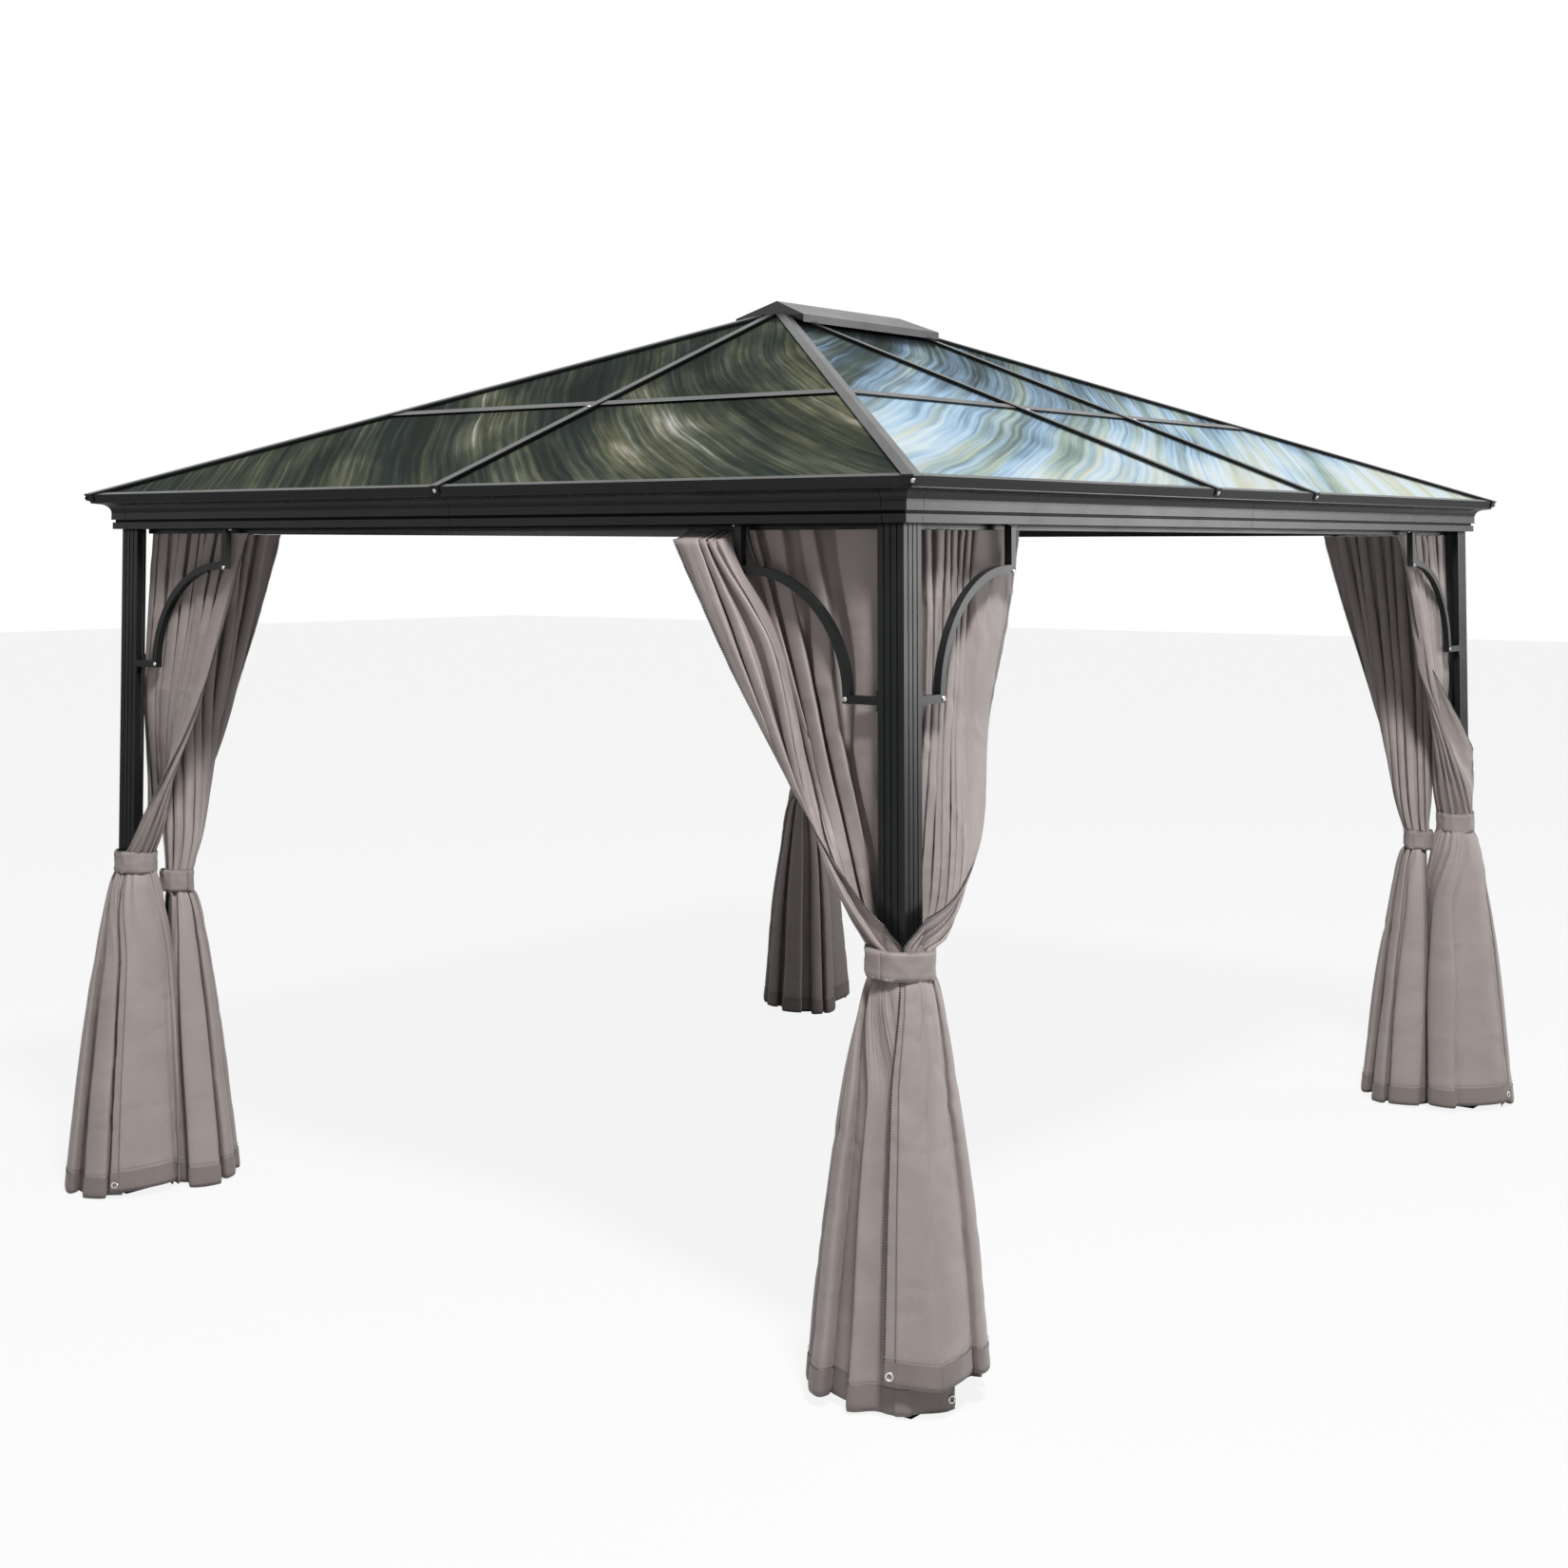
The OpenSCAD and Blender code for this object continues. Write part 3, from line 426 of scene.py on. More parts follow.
def cloth(name, light, dark, creased=True):
    material, tree, shader, link = new_material(name)
    uv = uv_coords(tree)
    split = tree.nodes.new("ShaderNodeSeparateXYZ")
    link(uv, split.inputs[0])
    shade = noise(tree, uv, 6.0, 4.0)
    if creased:
        band = maths(tree, "LESS_THAN", split.outputs[0], EDGE_BAND)
        shade = maths(tree, "SUBTRACT", shade, maths(tree, "MULTIPLY", band, 0.4))
    link(ramp(tree, shade, [(0.3, dark), (0.7, light)]), shader.inputs["Base Color"])
    shader.inputs["Roughness"].default_value = 0.52
    shader.inputs["Sheen Weight"].default_value = 0.2
    shader.inputs["Sheen Roughness"].default_value = 0.4
    shader.inputs["Specular IOR Level"].default_value = 0.35
    across = maths(tree, "SINE", maths(tree, "MULTIPLY", split.outputs[0], THREADS), 0.0)
    along = maths(tree, "SINE", maths(tree, "MULTIPLY", split.outputs[1], THREADS), 0.0)
    weave = bump(tree, maths(tree, "ADD", across, along), 0.15, 0.0004)
    rumple = bump(tree, noise(tree, uv, 26.0, 4.0, 0.55), 0.28, 0.006, weave)
    if creased:
        lines = maths(tree, "MAXIMUM", *(crease_lines(tree, split.outputs[axis], pitch, CREASE_HALF)
                                         for axis, pitch in enumerate(BAG_FOLDS)))
        broken = maths(tree, "MULTIPLY", lines, maths(tree, "POWER", noise(tree, uv, 4.0, 2.0), 1.6))
        rumple = bump(tree, broken, 0.45, 0.0045, rumple)
        seam = maths(tree, "ABSOLUTE", maths(tree, "SUBTRACT", split.outputs[0], EDGE_BAND), 0.0)
        groove = maths(tree, "MINIMUM", maths(tree, "DIVIDE", seam, 0.005), 1.0)
        rumple = bump(tree, groove, 0.8, 0.004, rumple)
    link(rumple, shader.inputs["Normal"])
    return material


CURTAIN = cloth("curtain_cloth", (0.318, 0.272, 0.260), (0.270, 0.229, 0.218))
TIE = cloth("tie_cloth", (0.285, 0.242, 0.230), (0.245, 0.206, 0.196), creased=False)
HEM = cloth("hem_cloth", (0.208, 0.175, 0.166), (0.180, 0.151, 0.143), creased=False)
print("made", CURTAIN.name, TIE.name, HEM.name)

# %% [markdown]
# Each CAD node takes the finish that its name calls for. The curtain solids and the tie bands are not
# in the list, since the cloth below stands for them.

# %% Dress the frame
dressed = 0
for name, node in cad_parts.items():
    if name.startswith(("curtain_front", "curtain_back", "tie_")):
        continue
    node.data.materials.clear()
    if name in ("panels_front", "panels_back"):
        node.data.materials.append(BRIGHT_REFLECTION_PANEL)
    else:
        node.data.materials.append(DIM_REFLECTION_PANEL if name.startswith("panels") else POWDER)
    dressed += 1
print("dressed", dressed, "nodes")

# %% [markdown]
# ## Curtains
#
# A cloth simulation could hang these, but a tied curtain settles slowly and differs with every run.
# A sheet drawn by a rule is exact: each row of the grid is one level, each column one thread. The rule
# works in a frame of the curtain's own. Its run goes inward along the beam from the outer corner of the
# post, and its depth goes inward across the beam.
#
# Five arrangements serve for the eight curtains. In each, `tie` and `hem` are the middles of the bundle,
# `tie_r` and `hem_half` its radii, and `tie_amp` and `hem_amp` the depth of its folds. `turn`, `low_turn`
# and `hem_turn` give the angles of the first and the last thread, in degrees, at the top of the tie, at
# its foot and at the hem. The hem rises to `hem_z` between the two shares of the width in `raised`. `sag`
# and `flare` shape the fall above and below the tie. `wound` is the share of the height in which threads
# unwind from the post, and `tuck` is how far an inner layer is drawn in and how far its folds are calmed.

# %% Curtain sizes
TOP_Z, HEM_Z = 1.9455, 0.006
TRACK_DEPTH, TRACK_START = 0.048, 0.086
TIE_HALF = 0.030
HEM_BAND = 0.062
CURTAIN_WIDTH = 1.25
COLUMNS, ROWS = 260, 170
LENGTH = TOP_Z - HEM_Z
STEP = LENGTH / (ROWS - 1)
TURN_UP = int(round(HEM_BAND / STEP))

POST_MID = (0.036, 0.036)
SIDE_TIE = (0.150, 0.0845)
SIDE_HEM = (0.207, 0.109)
ARRANGED = {
    "over": dict(tie=POST_MID, tie_r=0.067, tie_amp=0.009, tie_z=0.975,
                 turn=(42, -140), low_turn=(42, -146), hem_turn=(48, -156),
                 hem=(0.066, 0.066), hem_half=(0.192, 0.180), hem_amp=0.022, hem_z=0.075,
                 raised=(0.34, 0.50), sag=0.44, flare=0.66, wound=0.13, tuck=(0.0, 0.0)),
    "under": dict(tie=POST_MID, tie_r=0.062, tie_amp=0.009, tie_z=0.975,
                  turn=(48, -128), low_turn=(48, -136), hem_turn=(44, -176),
                  hem=(0.066, 0.066), hem_half=(0.188, 0.162), hem_amp=0.027, hem_z=0.030,
                  raised=(0.62, 0.50), sag=0.80, flare=0.66, wound=0.13, tuck=(0.17, 0.88)),
    "round_front": dict(tie=POST_MID, tie_r=0.0565, tie_amp=0.004, tie_z=0.960,
                        turn=(110, -140), low_turn=(238, -120), hem_turn=(276, -95),
                        hem=POST_MID, hem_half=(0.178, 0.170), hem_amp=0.022, hem_z=0.022,
                        raised=(0.6, 0.85), sag=0.78, flare=0.60, wound=0.40, tuck=(0.0, 0.0)),
    "round_side": dict(tie=POST_MID, tie_r=0.0565, tie_amp=0.004, tie_z=0.960,
                       turn=(120, -80), low_turn=(290, -74), hem_turn=(314, -58),
                       hem=POST_MID, hem_half=(0.178, 0.170), hem_amp=0.022, hem_z=0.022,
                       raised=(0.6, 0.85), sag=0.78, flare=0.60, wound=0.13, tuck=(0.0, 0.0)),
    "beside": dict(tie=SIDE_TIE, tie_r=0.036, tie_amp=0.010, tie_z=0.895,
                   turn=(190, -120), low_turn=(190, -120), hem_turn=(205, -135),
                   hem=SIDE_HEM, hem_half=(0.128, 0.120), hem_amp=0.022, hem_z=0.030,
                   raised=(0.3, 0.75), sag=0.75, flare=0.48, wound=0.0, tuck=(0.0, 0.0)),
}
print(len(ARRANGED), "arrangements,", COLUMNS, "threads by", ROWS, "levels")

# %% [markdown]
# Above the tie a thread unwinds from the post and climbs to its place on the track. Below the tie it fans
# out to an oval at the hem. One curtain at the near corner passes in front of its bracket: its leading
# threads hang outside it and lap a little over the others. At the other corners the two skirts are
# flattened where they meet.

# %% Plan of the threads
LEAVE_ANGLE, WIND_SPAN = 92, 80
PASSING = (0.585, 0.625)
LAP_AT = 0.66


def ease(low, high, value):
    """A smooth step from 0 at low to 1 at high."""
    t = np.clip((value - low) / (high - low), 0.0, 1.0)
    return t * t * (3 - 2 * t)


def hump(value, middle, width):
    """A smooth bump of height 1 about a middle."""
    return np.exp(-((value - middle) / width) ** 2)


def turn_at(first, second, share, s):
    """Angle of a thread about its tie, part of the way from one pair of end angles to another."""
    start = first[0] + (second[0] - first[0]) * share
    stop = first[1] + (second[1] - first[1]) * share
    return np.radians(start + (stop - start) * s)


def above_tie(ring, reach, in_front, s, g, band):
    """Plan of the threads from the tie (g = 0) up to the track (g = 1); band is 0 to 1 down the tie."""
    phi_tie = turn_at(ring["turn"], ring["low_turn"], band, s)
    wind = 0.0 * s
    if ring["tie"] == POST_MID:
        wind = np.clip((-np.degrees(phi_tie) - LEAVE_ANGLE) / WIND_SPAN, 0.0, 1.0)
    leave = 0.0001 + ring["wound"] * wind
    unwound = phi_tie + (np.radians(-LEAVE_ANGLE) - phi_tie) * ease(0.0, 1.0, g / leave)
    phi = np.where(wind > 0, unwound, phi_tie)
    climb = np.clip((g - leave) / (1 - leave), 0.0, 1.0)
    top_run = TRACK_START + (reach - TRACK_START) * s ** (0.62 if in_front else 0.9)
    hang = TRACK_DEPTH
    lap = 0.0
    if in_front:
        hang = TRACK_DEPTH - 0.080 * ease(*PASSING, s) * (1 - ease(0.972, 1.0, g))
        lap = 0.075 * hump(s, LAP_AT, 0.07) * (1 - ease(0.70, 1.0, g)) * ease(0.25, 0.7, g)
    radius = ring["tie_r"] + 0.008 * ease(0.0, 0.12, g)
    run = ring["tie"][0] + radius * np.cos(phi)
    depth = ring["tie"][1] + radius * np.sin(phi)
    run = run + (top_run - run) * climb ** ring["sag"] - lap
    return run, depth + (hang - depth) * ease(0.02, 0.56, climb)


def below_tie(ring, s, k):
    """Plan of the threads from the tie (k = 0) down to the hem (k = 1)."""
    phi = turn_at(ring["low_turn"], ring["hem_turn"], ease(0.0, 0.3, k), s)
    oval = 1 / np.hypot(np.cos(phi + math.pi / 4) / ring["hem_half"][0],
                        np.sin(phi + math.pi / 4) / ring["hem_half"][1])
    tuck = 0.10 * (1 - ease(0.0, 0.16, s))
    tuck = tuck + ring["tuck"][0] * (hump(s, LAP_AT, 0.06) + 0.35 * ease(0.64, 0.74, s))
    tucked = 1 - tuck * ease(0.0, 0.1, k)
    radius = ring["tie_r"] + (oval * tucked - ring["tie_r"]) * k ** ring["flare"]
    middle = [t + (h - t) * k for t, h in zip(ring["tie"], ring["hem"])]
    return middle[0] + radius * np.cos(phi), middle[1] + radius * np.sin(phi)


def keep_apart(kind, run, depth, k):
    """Flattens a skirt where it meets its neighbour, so that the two lie side by side."""
    if kind in ("over", "under"):
        return run, depth
    near, far = (SIDE_HEM, POST_MID) if kind == "beside" else (POST_MID, SIDE_HEM[::-1])
    gap = math.hypot(far[0] - near[0], far[1] - near[1])
    way = ((far[0] - near[0]) / gap, (far[1] - near[1]) / gap)
    limit = gap * (0.48 if kind == "beside" else 0.58)
    along = (run - near[0]) * way[0] + (depth - near[1]) * way[1]
    over = np.where(k > 0, np.log1p(np.exp(np.clip((along - limit) / 0.008, -40, 40))) * 0.008, 0.0)
    return run - over * way[0], depth - over * way[1]


print("threads leave the post at", LEAVE_ANGLE, "degrees")

# %% [markdown]
# The folds are pushed out from the base line along its normal. A plain wave would be too even, so every
# fold has its own width, and the phase wanders. A second wave slides the cloth along the line, which bends
# the folds back over themselves, as real ones do. Small creases and a step at the doubled edge band lie
# on top.

# %% Folds
UPPER_DEPTH = 0.019
EDGE_STEP = 0.0018


def ripple(rng, s, v, terms):
    """A smooth random surface of about unit height over the sheet."""
    total = np.zeros(np.broadcast(s, v).shape)
    for _ in range(terms):
        total += np.sin(2 * math.pi * (rng.uniform(-5, 5) * s + rng.uniform(-2.2, 2.2) * v)
                        + rng.uniform(0, 6.28))
    return total / math.sqrt(terms)


def fold_phase(rng, s, z, widths, wander, last=0.5):
    """Phase of the folds: a turn to each width, but half a turn, on or back, to the flat last one."""
    knots = np.concatenate([[0], np.cumsum(widths) / np.sum(widths)])
    turns = np.append(np.arange(len(widths)), len(widths) - 1 + last)
    phase = 2 * math.pi * np.interp(s, knots, turns)
    return phase + wander * ripple(rng, s, z, 6)


def fold_size(s, widths):
    """Depth of the folds over the sheet: a wide fold is deep, up to a limit."""
    middles = (np.cumsum(widths) - 0.5 * np.array(widths)) / np.sum(widths)
    return np.interp(s, middles, np.minimum(np.array(widths) / np.median(widths), 1.35))


def upper_folds(phase, ring, in_front, widths, s, g, edge):
    """Push and slide of the folds above the tie."""
    deep = UPPER_DEPTH * fold_size(s, widths)
    grown = ring["tie_amp"] + (deep - ring["tie_amp"]) * ease(0.0, 0.5, g)
    amp = edge * (grown - 0.3 * deep * ease(0.6, 1.0, g))
    if in_front:
        amp = amp * (1 - 0.9 * hump(s, PASSING[1], 0.07) * ease(0.45, 0.75, g))
    return amp * (np.sin(phase) + 0.2 * np.sin(2 * phase + 0.8)), -0.6 * amp * np.sin(2 * phase)


def skirt_folds(phase, ring, s, k, edge, stride):
    """Push and slide of the folds below the tie."""
    amp = edge * (ring["tie_amp"] + (ring["hem_amp"] - ring["tie_amp"]) * ease(0.0, 0.7, k))
    amp = amp * (1 - ring["tuck"][1] * ease(0.54, 0.64, s))
    per_turn = stride / np.maximum(np.gradient(phase, axis=1), 1e-4)
    slide = -np.minimum(1.25 * per_turn, 1.3 * amp) * np.sin(2 * phase)
    return amp * np.tanh(1.7 * np.sin(phase) + 0.45), slide


def small_relief(rng, ring, phase, s, z):
    """Wrinkles about the tie, soft creases, a puckered edge and the step of the edge band."""
    off_tie = np.abs(z - ring["tie_z"])
    pinch = np.exp(-off_tie / 0.14) * (1 - np.exp(-off_tie / 0.03))
    relief = 0.0035 * pinch * np.sin(3.4 * phase + 2 * ripple(rng, s, z, 4))
    for spread in (0.4, 0.6, 0.8):
        creases = 1 - np.minimum(2.2 * np.abs(ripple(rng, spread * s, 3.4 * spread * z, 4)), 1.0)
        relief = relief + 0.0022 * creases * ease(-0.2, 1.0, ripple(rng, s, 2 * z, 4))
    pucker = ease(0.95, 0.98, s) * np.sin(120 * z + 4 * ripple(rng, 0 * s, 3 * z, 5))
    relief = relief + 0.0022 * ripple(rng, 0.6 * s, z, 14) + 0.0008 * pucker
    doubled = 1 - EDGE_BAND / CURTAIN_WIDTH
    return relief + EDGE_STEP * ease(doubled - 0.003, doubled + 0.003, s)


print("folds up to", UPPER_DEPTH, "m deep above the tie")

# %% [markdown]
# The grid puts the plan and the folds together. Where threads crowd together as the base line turns back,
# above the tie, the folds are calmed, since pushing them out there would tear nicks in the sheet.

# %% Curtain grid
def curtain_grid(kind, reach, in_front, upper_widths, skirt_widths, seed):
    """Points of a curtain in its own frame, row by row from the track to the hem."""
    rng = np.random.default_rng(seed)
    ring = ARRANGED[kind]
    s = np.linspace(0, 1, COLUMNS)[None, :]
    z = np.linspace(TOP_Z, HEM_Z, ROWS)[:, None]
    high, low = ring["tie_z"] + TIE_HALF, ring["tie_z"] - TIE_HALF
    g = np.clip((z - high) / (TOP_Z - high), 0.0, 1.0) + 0 * s
    k = np.clip((low - z) / (low - HEM_Z), 0.0, 1.0) + 0 * s
    band = ease(0.0, 1.0, (high - z) / (high - low)) + 0 * s
    upper, skirt = above_tie(ring, reach, in_front, s, g, band), below_tie(ring, s, k)
    run, depth = [np.where(k > 0, b, a) for a, b in zip(upper, skirt)]
    tangent = np.stack([np.gradient(run, axis=1), np.gradient(depth, axis=1)])
    stride = np.maximum(np.hypot(*tangent), 1e-9)
    tangent /= stride
    normal = np.stack([tangent[1], -tangent[0]])

    edge = np.minimum(1.0, 7 * np.minimum(s, 1 - s) + 0.25)
    phase = fold_phase(rng, s, z, upper_widths, 0.45)
    skirt_phase = fold_phase(rng, s, z, skirt_widths, 0.10, -0.5 if kind == "over" else 0.5)
    out, slide = upper_folds(phase, ring, in_front, upper_widths, s, g, edge)
    skirt_out, skirt_slide = skirt_folds(skirt_phase, ring, s, k, edge, stride)
    share = ease(-TIE_HALF, TIE_HALF, ring["tie_z"] - z)
    out = out * (1 - share) + skirt_out * share + small_relief(rng, ring, phase, s, z)
    slide = slide * (1 - share) + skirt_slide * share
    calm = np.where(k > 0, 1.0, ease(0.0, 0.6, stride / stride.mean(axis=1, keepdims=True)))
    run = run + calm * (out * normal[0] + slide * tangent[0])
    depth = depth + calm * (out * normal[1] + slide * tangent[1])
    run, depth = keep_apart(kind, run, depth, k)
    lift = (ring["hem_z"] - HEM_Z) * ease(*ring["raised"], s) + 0.005 * ripple(rng, s, 0 * z, 5)
    return np.stack([run, depth, np.maximum(z + lift * k, 0.002)], axis=-1)


print("a curtain is", CURTAIN_WIDTH, "by", round(LENGTH, 3), "m, and", TURN_UP, "rows more are turned up")

# %% [markdown]
# Placing a curtain in the world is a matter of two signs and, for a curtain on a short side, a swap of
# the two axes. Its mesh could come from a modifier, but a grid of points with a UV map needs only a few
# lines and keeps the flat size of the cloth, in metres, with u zero at the leading edge.

# %% Place and mesh a grid
def place_world(corner, along, points):
    """Own-frame points to world points for a corner (sign x, sign y) and a run along X or Y."""
    run, depth, z = points[..., 0], points[..., 1], points[..., 2]
    x_in, y_in = (run, depth) if along == "X" else (depth, run)
    return np.stack([corner[0] * (POST_X - x_in), corner[1] * (POST_Y - y_in), z], axis=-1)


def grid_normals(points):
    """Unit normals of a grid of points."""
    across = np.gradient(points, axis=1)
    down = np.gradient(points, axis=0)
    normal = np.cross(across, down)
    return normal / np.maximum(np.linalg.norm(normal, axis=-1, keepdims=True), 1e-9)


def outward_normals(points):
    """Normals of a curtain's grid, with the sign that points them out of the bundle at the hem."""
    normals = grid_normals(points)
    from_middle = points[-1] - points[-1].mean(axis=0)
    return (np.sign((normals[-1] * from_middle).sum()) or 1.0) * normals


def flat_map(across, along):
    """UV pairs of a grid from the flat place of each column and each row."""
    return np.stack(np.broadcast_arrays(across[None, :], along[:, None]), axis=-1)


def grid_mesh(name, points, uv, materials, material_of_row):
    """A mesh of quads over a grid of points with a UV map."""
    rows, columns = points.shape[:2]
    index = np.arange(rows * columns).reshape(rows, columns)
    quads = np.stack([index[:-1, :-1], index[1:, :-1], index[1:, 1:], index[:-1, 1:]], axis=-1).reshape(-1, 4)
    mesh = bpy.data.meshes.new(name)
    mesh.from_pydata(points.reshape(-1, 3).tolist(), [], quads.tolist())
    layer = mesh.uv_layers.new(name="flat")
    layer.data.foreach_set("uv", uv.reshape(-1, 2)[quads.reshape(-1)].ravel())
    for material in materials:
        mesh.materials.append(material)
    slots = np.repeat(material_of_row, columns - 1).astype(np.int32)
    mesh.polygons.foreach_set("material_index", slots)
    mesh.polygons.foreach_set("use_smooth", np.ones(len(quads), dtype=bool))
    mesh.update()
    piece = bpy.data.objects.new(name, mesh)
    scene.collection.objects.link(piece)
    return piece


print("outer corner of the front right post:", place_world((1, -1), "X", np.zeros(3)).round(3))

# %% [markdown]
# The lists below are the only choices left: how wide each fold is, how far a curtain reaches along its
# track, and which way it is arranged. Its last rows are folded back up on the outside as a double hem.

# %% Hang the curtains
HEM_GAP = 0.0022

CORNERS = {"front_left": (-1, -1), "front_right": (1, -1), "back_left": (-1, 1), "back_right": (1, 1)}
PLEATS = {
    "flat_lead": ([0.8, 0.5, 0.6, 0.5, 0.6, 0.4, 0.5, 3.2], [0.5, 0.6, 0.4, 0.6, 0.5, 0.6, 0.9, 2.6]),
    "bunched": ([1.4, 1.6, 1.5, 0.6, 0.5, 0.55, 0.5, 0.6, 1.9], [0.7, 0.6, 0.9, 0.7, 1.2, 0.8, 1.1]),
    "loose": ([0.7, 0.9, 0.6, 1.1, 0.7, 0.6, 1.0, 0.8, 1.5], [0.7, 0.9, 0.6, 1.0, 0.8, 1.3, 1.5]),
    "bundle": ([0.9, 0.6, 1.0, 0.7, 0.8, 1.1, 0.6, 0.9, 1.2], [1.0, 1.6, 0.8, 1.3, 0.9, 1.1, 1.4]),
}
CURTAINS = [
    ("front_left", "front", "X", "over", 0.575, False, "flat_lead", 11),
    ("front_left", "side", "Y", "under", 0.660, True, "bunched", 12),
    ("front_right", "front", "X", "round_front", 0.500, False, "loose", 13),
    ("front_right", "side", "Y", "beside", 0.500, False, "bundle", 14),
    ("back_left", "back", "X", "beside", 0.580, False, "bundle", 15),
    ("back_left", "side", "Y", "round_side", 0.530, False, "loose", 16),
    ("back_right", "back", "X", "beside", 0.580, False, "bundle", 17),
    ("back_right", "side", "Y", "round_side", 0.530, False, "loose", 18),
]
curtain_points = {}
for corner, side, along, kind, reach, in_front, pleats, seed in CURTAINS:
    name = f"cloth_{corner}_{side}"
    own = curtain_grid(kind, reach, in_front, *PLEATS[pleats], seed)
    points = place_world(CORNERS[corner], along, own)
    hem = (points + HEM_GAP * outward_normals(points))[-2:-2 - TURN_UP:-1]
    grid = np.concatenate([points, hem])
    uv = flat_map(np.linspace(CURTAIN_WIDTH, 0, COLUMNS), np.arange(len(grid)) * STEP)
    rows_of_hem = (np.arange(len(grid) - 1) >= ROWS - 1).astype(int)
    piece = grid_mesh(name, grid, uv, [CURTAIN, HEM], rows_of_hem)
    curtain_points[name] = points
    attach(piece, "root")
    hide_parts(f"curtain_{corner}_{side}")
print("hung", len(curtain_points), "curtains")

# %% [markdown]
# ## Tie bands
#
# A tie band is a strip of the same cloth pulled tight round the folds. A plain ring would look like a
# pipe clip, so it is a closed outline swept round the bundle. The outline has rounded edges, and the
# radius breathes a little where the folds push. One end laps over the other, so the end of the sweep
# sits outside its start.

# %% Tie the curtains back
BAND_HALF, BAND_THICK = 0.033, 0.0028
BAND_STEPS, BAND_LAP = 150, 0.55


def band_outline():
    """Section of a band as (up, out) pairs: a rounded outer side and a flat inner one."""
    outline = []
    for t in np.linspace(-1, 1, 9):
        outline.append((t * BAND_HALF, BAND_THICK * (1 - abs(t) ** 6) + 0.0006 * math.cos(t * 9)))
    for t in np.linspace(1, -1, 9):
        outline.append((t * (BAND_HALF - 0.0004), -0.0004))
    return outline


def close_ends(mesh):
    """Joins the seam of a swept outline, caps its ends and turns its faces outwards."""
    work = bmesh.new()
    work.from_mesh(mesh)
    bmesh.ops.remove_doubles(work, verts=work.verts, dist=1e-5)
    bmesh.ops.holes_fill(work, edges=[e for e in work.edges if e.is_boundary], sides=0)
    bmesh.ops.recalc_face_normals(work, faces=work.faces)
    work.to_mesh(mesh)
    work.free()


def tie_band(name, corner, along, kind, radius, turn, seed):
    """A lapped band of cloth about the tie of an arrangement; turn is the angle where it starts."""
    rng = np.random.default_rng(seed)
    centre, z = ARRANGED[kind]["tie"], ARRANGED[kind]["tie_z"]
    angle = np.linspace(turn, turn + 2 * math.pi + BAND_LAP, BAND_STEPS)
    push = sum(rng.uniform(0.3, 1.0) * np.sin(n * angle + rng.uniform(0, 6.28)) for n in (3, 5, 8, 13)) / 3
    lift = 0.0045 * np.clip((angle - angle[0] - 2 * math.pi + 0.12) / 0.12, 0, 1)
    radial = radius - 0.0015 + 0.0022 * push + lift
    tilt = 0.004 * np.sin(angle + rng.uniform(0, 6.28))
    rows = []
    for a, r, dz in zip(angle, radial, tilt):
        twist = 2.2 * math.sin(2 * a + seed) + 1.3 * math.sin(5 * a)
        row = []
        for up, out in band_outline():
            level = up / BAND_HALF
            waist = 0.0012 * math.cos(level * 1.4) - 0.0008 * math.sin(4.2 * level + twist)
            reach = r + out - waist
            row.append((centre[0] + reach * math.cos(a), centre[1] + reach * math.sin(a), z + up + dz))
        rows.append(row)
    own = np.array(rows)
    own = np.concatenate([own, own[:, :1]], axis=1)
    points = place_world(CORNERS[corner], along, own)
    uv = flat_map(np.linspace(0, 4 * BAND_HALF, own.shape[1]), (angle - angle[0]) * radius)
    piece = grid_mesh(name, points, uv, [TIE], np.zeros(BAND_STEPS - 1, int))
    close_ends(piece.data)
    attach(piece, "root")
    return piece


TIES = [
    ("front_left", "X", "over", 0.081, 2.6, 31),
    ("front_right", "X", "round_front", 0.063, 2.0, 32),
    ("front_right", "Y", "beside", 0.050, 1.0, 33),
    ("back_left", "Y", "round_side", 0.063, 2.0, 34),
    ("back_left", "X", "beside", 0.050, 1.0, 35),
    ("back_right", "Y", "round_side", 0.063, 2.0, 36),
    ("back_right", "X", "beside", 0.050, 1.0, 37),
]
bands = [tie_band(f"tie_{i}_{t[0]}", *t) for i, t in enumerate(TIES)]
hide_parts("tie_bands")
print("tied", len(bands), "bands")

# %% [markdown]
# ## Hardware by Geometry Nodes
#
# Screws, eyelets, zip teeth and stitches are each many copies of one small form. A loop could place
# them one by one, but a node tree with named inputs serves for every kind. Each tree ends in Realize
# Instances and Set Material, so that its result bakes to a plain mesh.

# %% Parts that the node groups share
def new_group(name, inputs):
    """A geometry node group with a geometry input, the named inputs and a geometry output."""
    group = bpy.data.node_groups.new(name, "GeometryNodeTree")
    group.interface.new_socket("Geometry", in_out="INPUT", socket_type="NodeSocketGeometry")
    for label, kind in inputs:
        group.interface.new_socket(label, in_out="INPUT", socket_type=kind)
    group.interface.new_socket("Geometry", in_out="OUTPUT", socket_type="NodeSocketGeometry")
    return group, group.nodes.new("NodeGroupInput"), group.nodes.new("NodeGroupOutput")


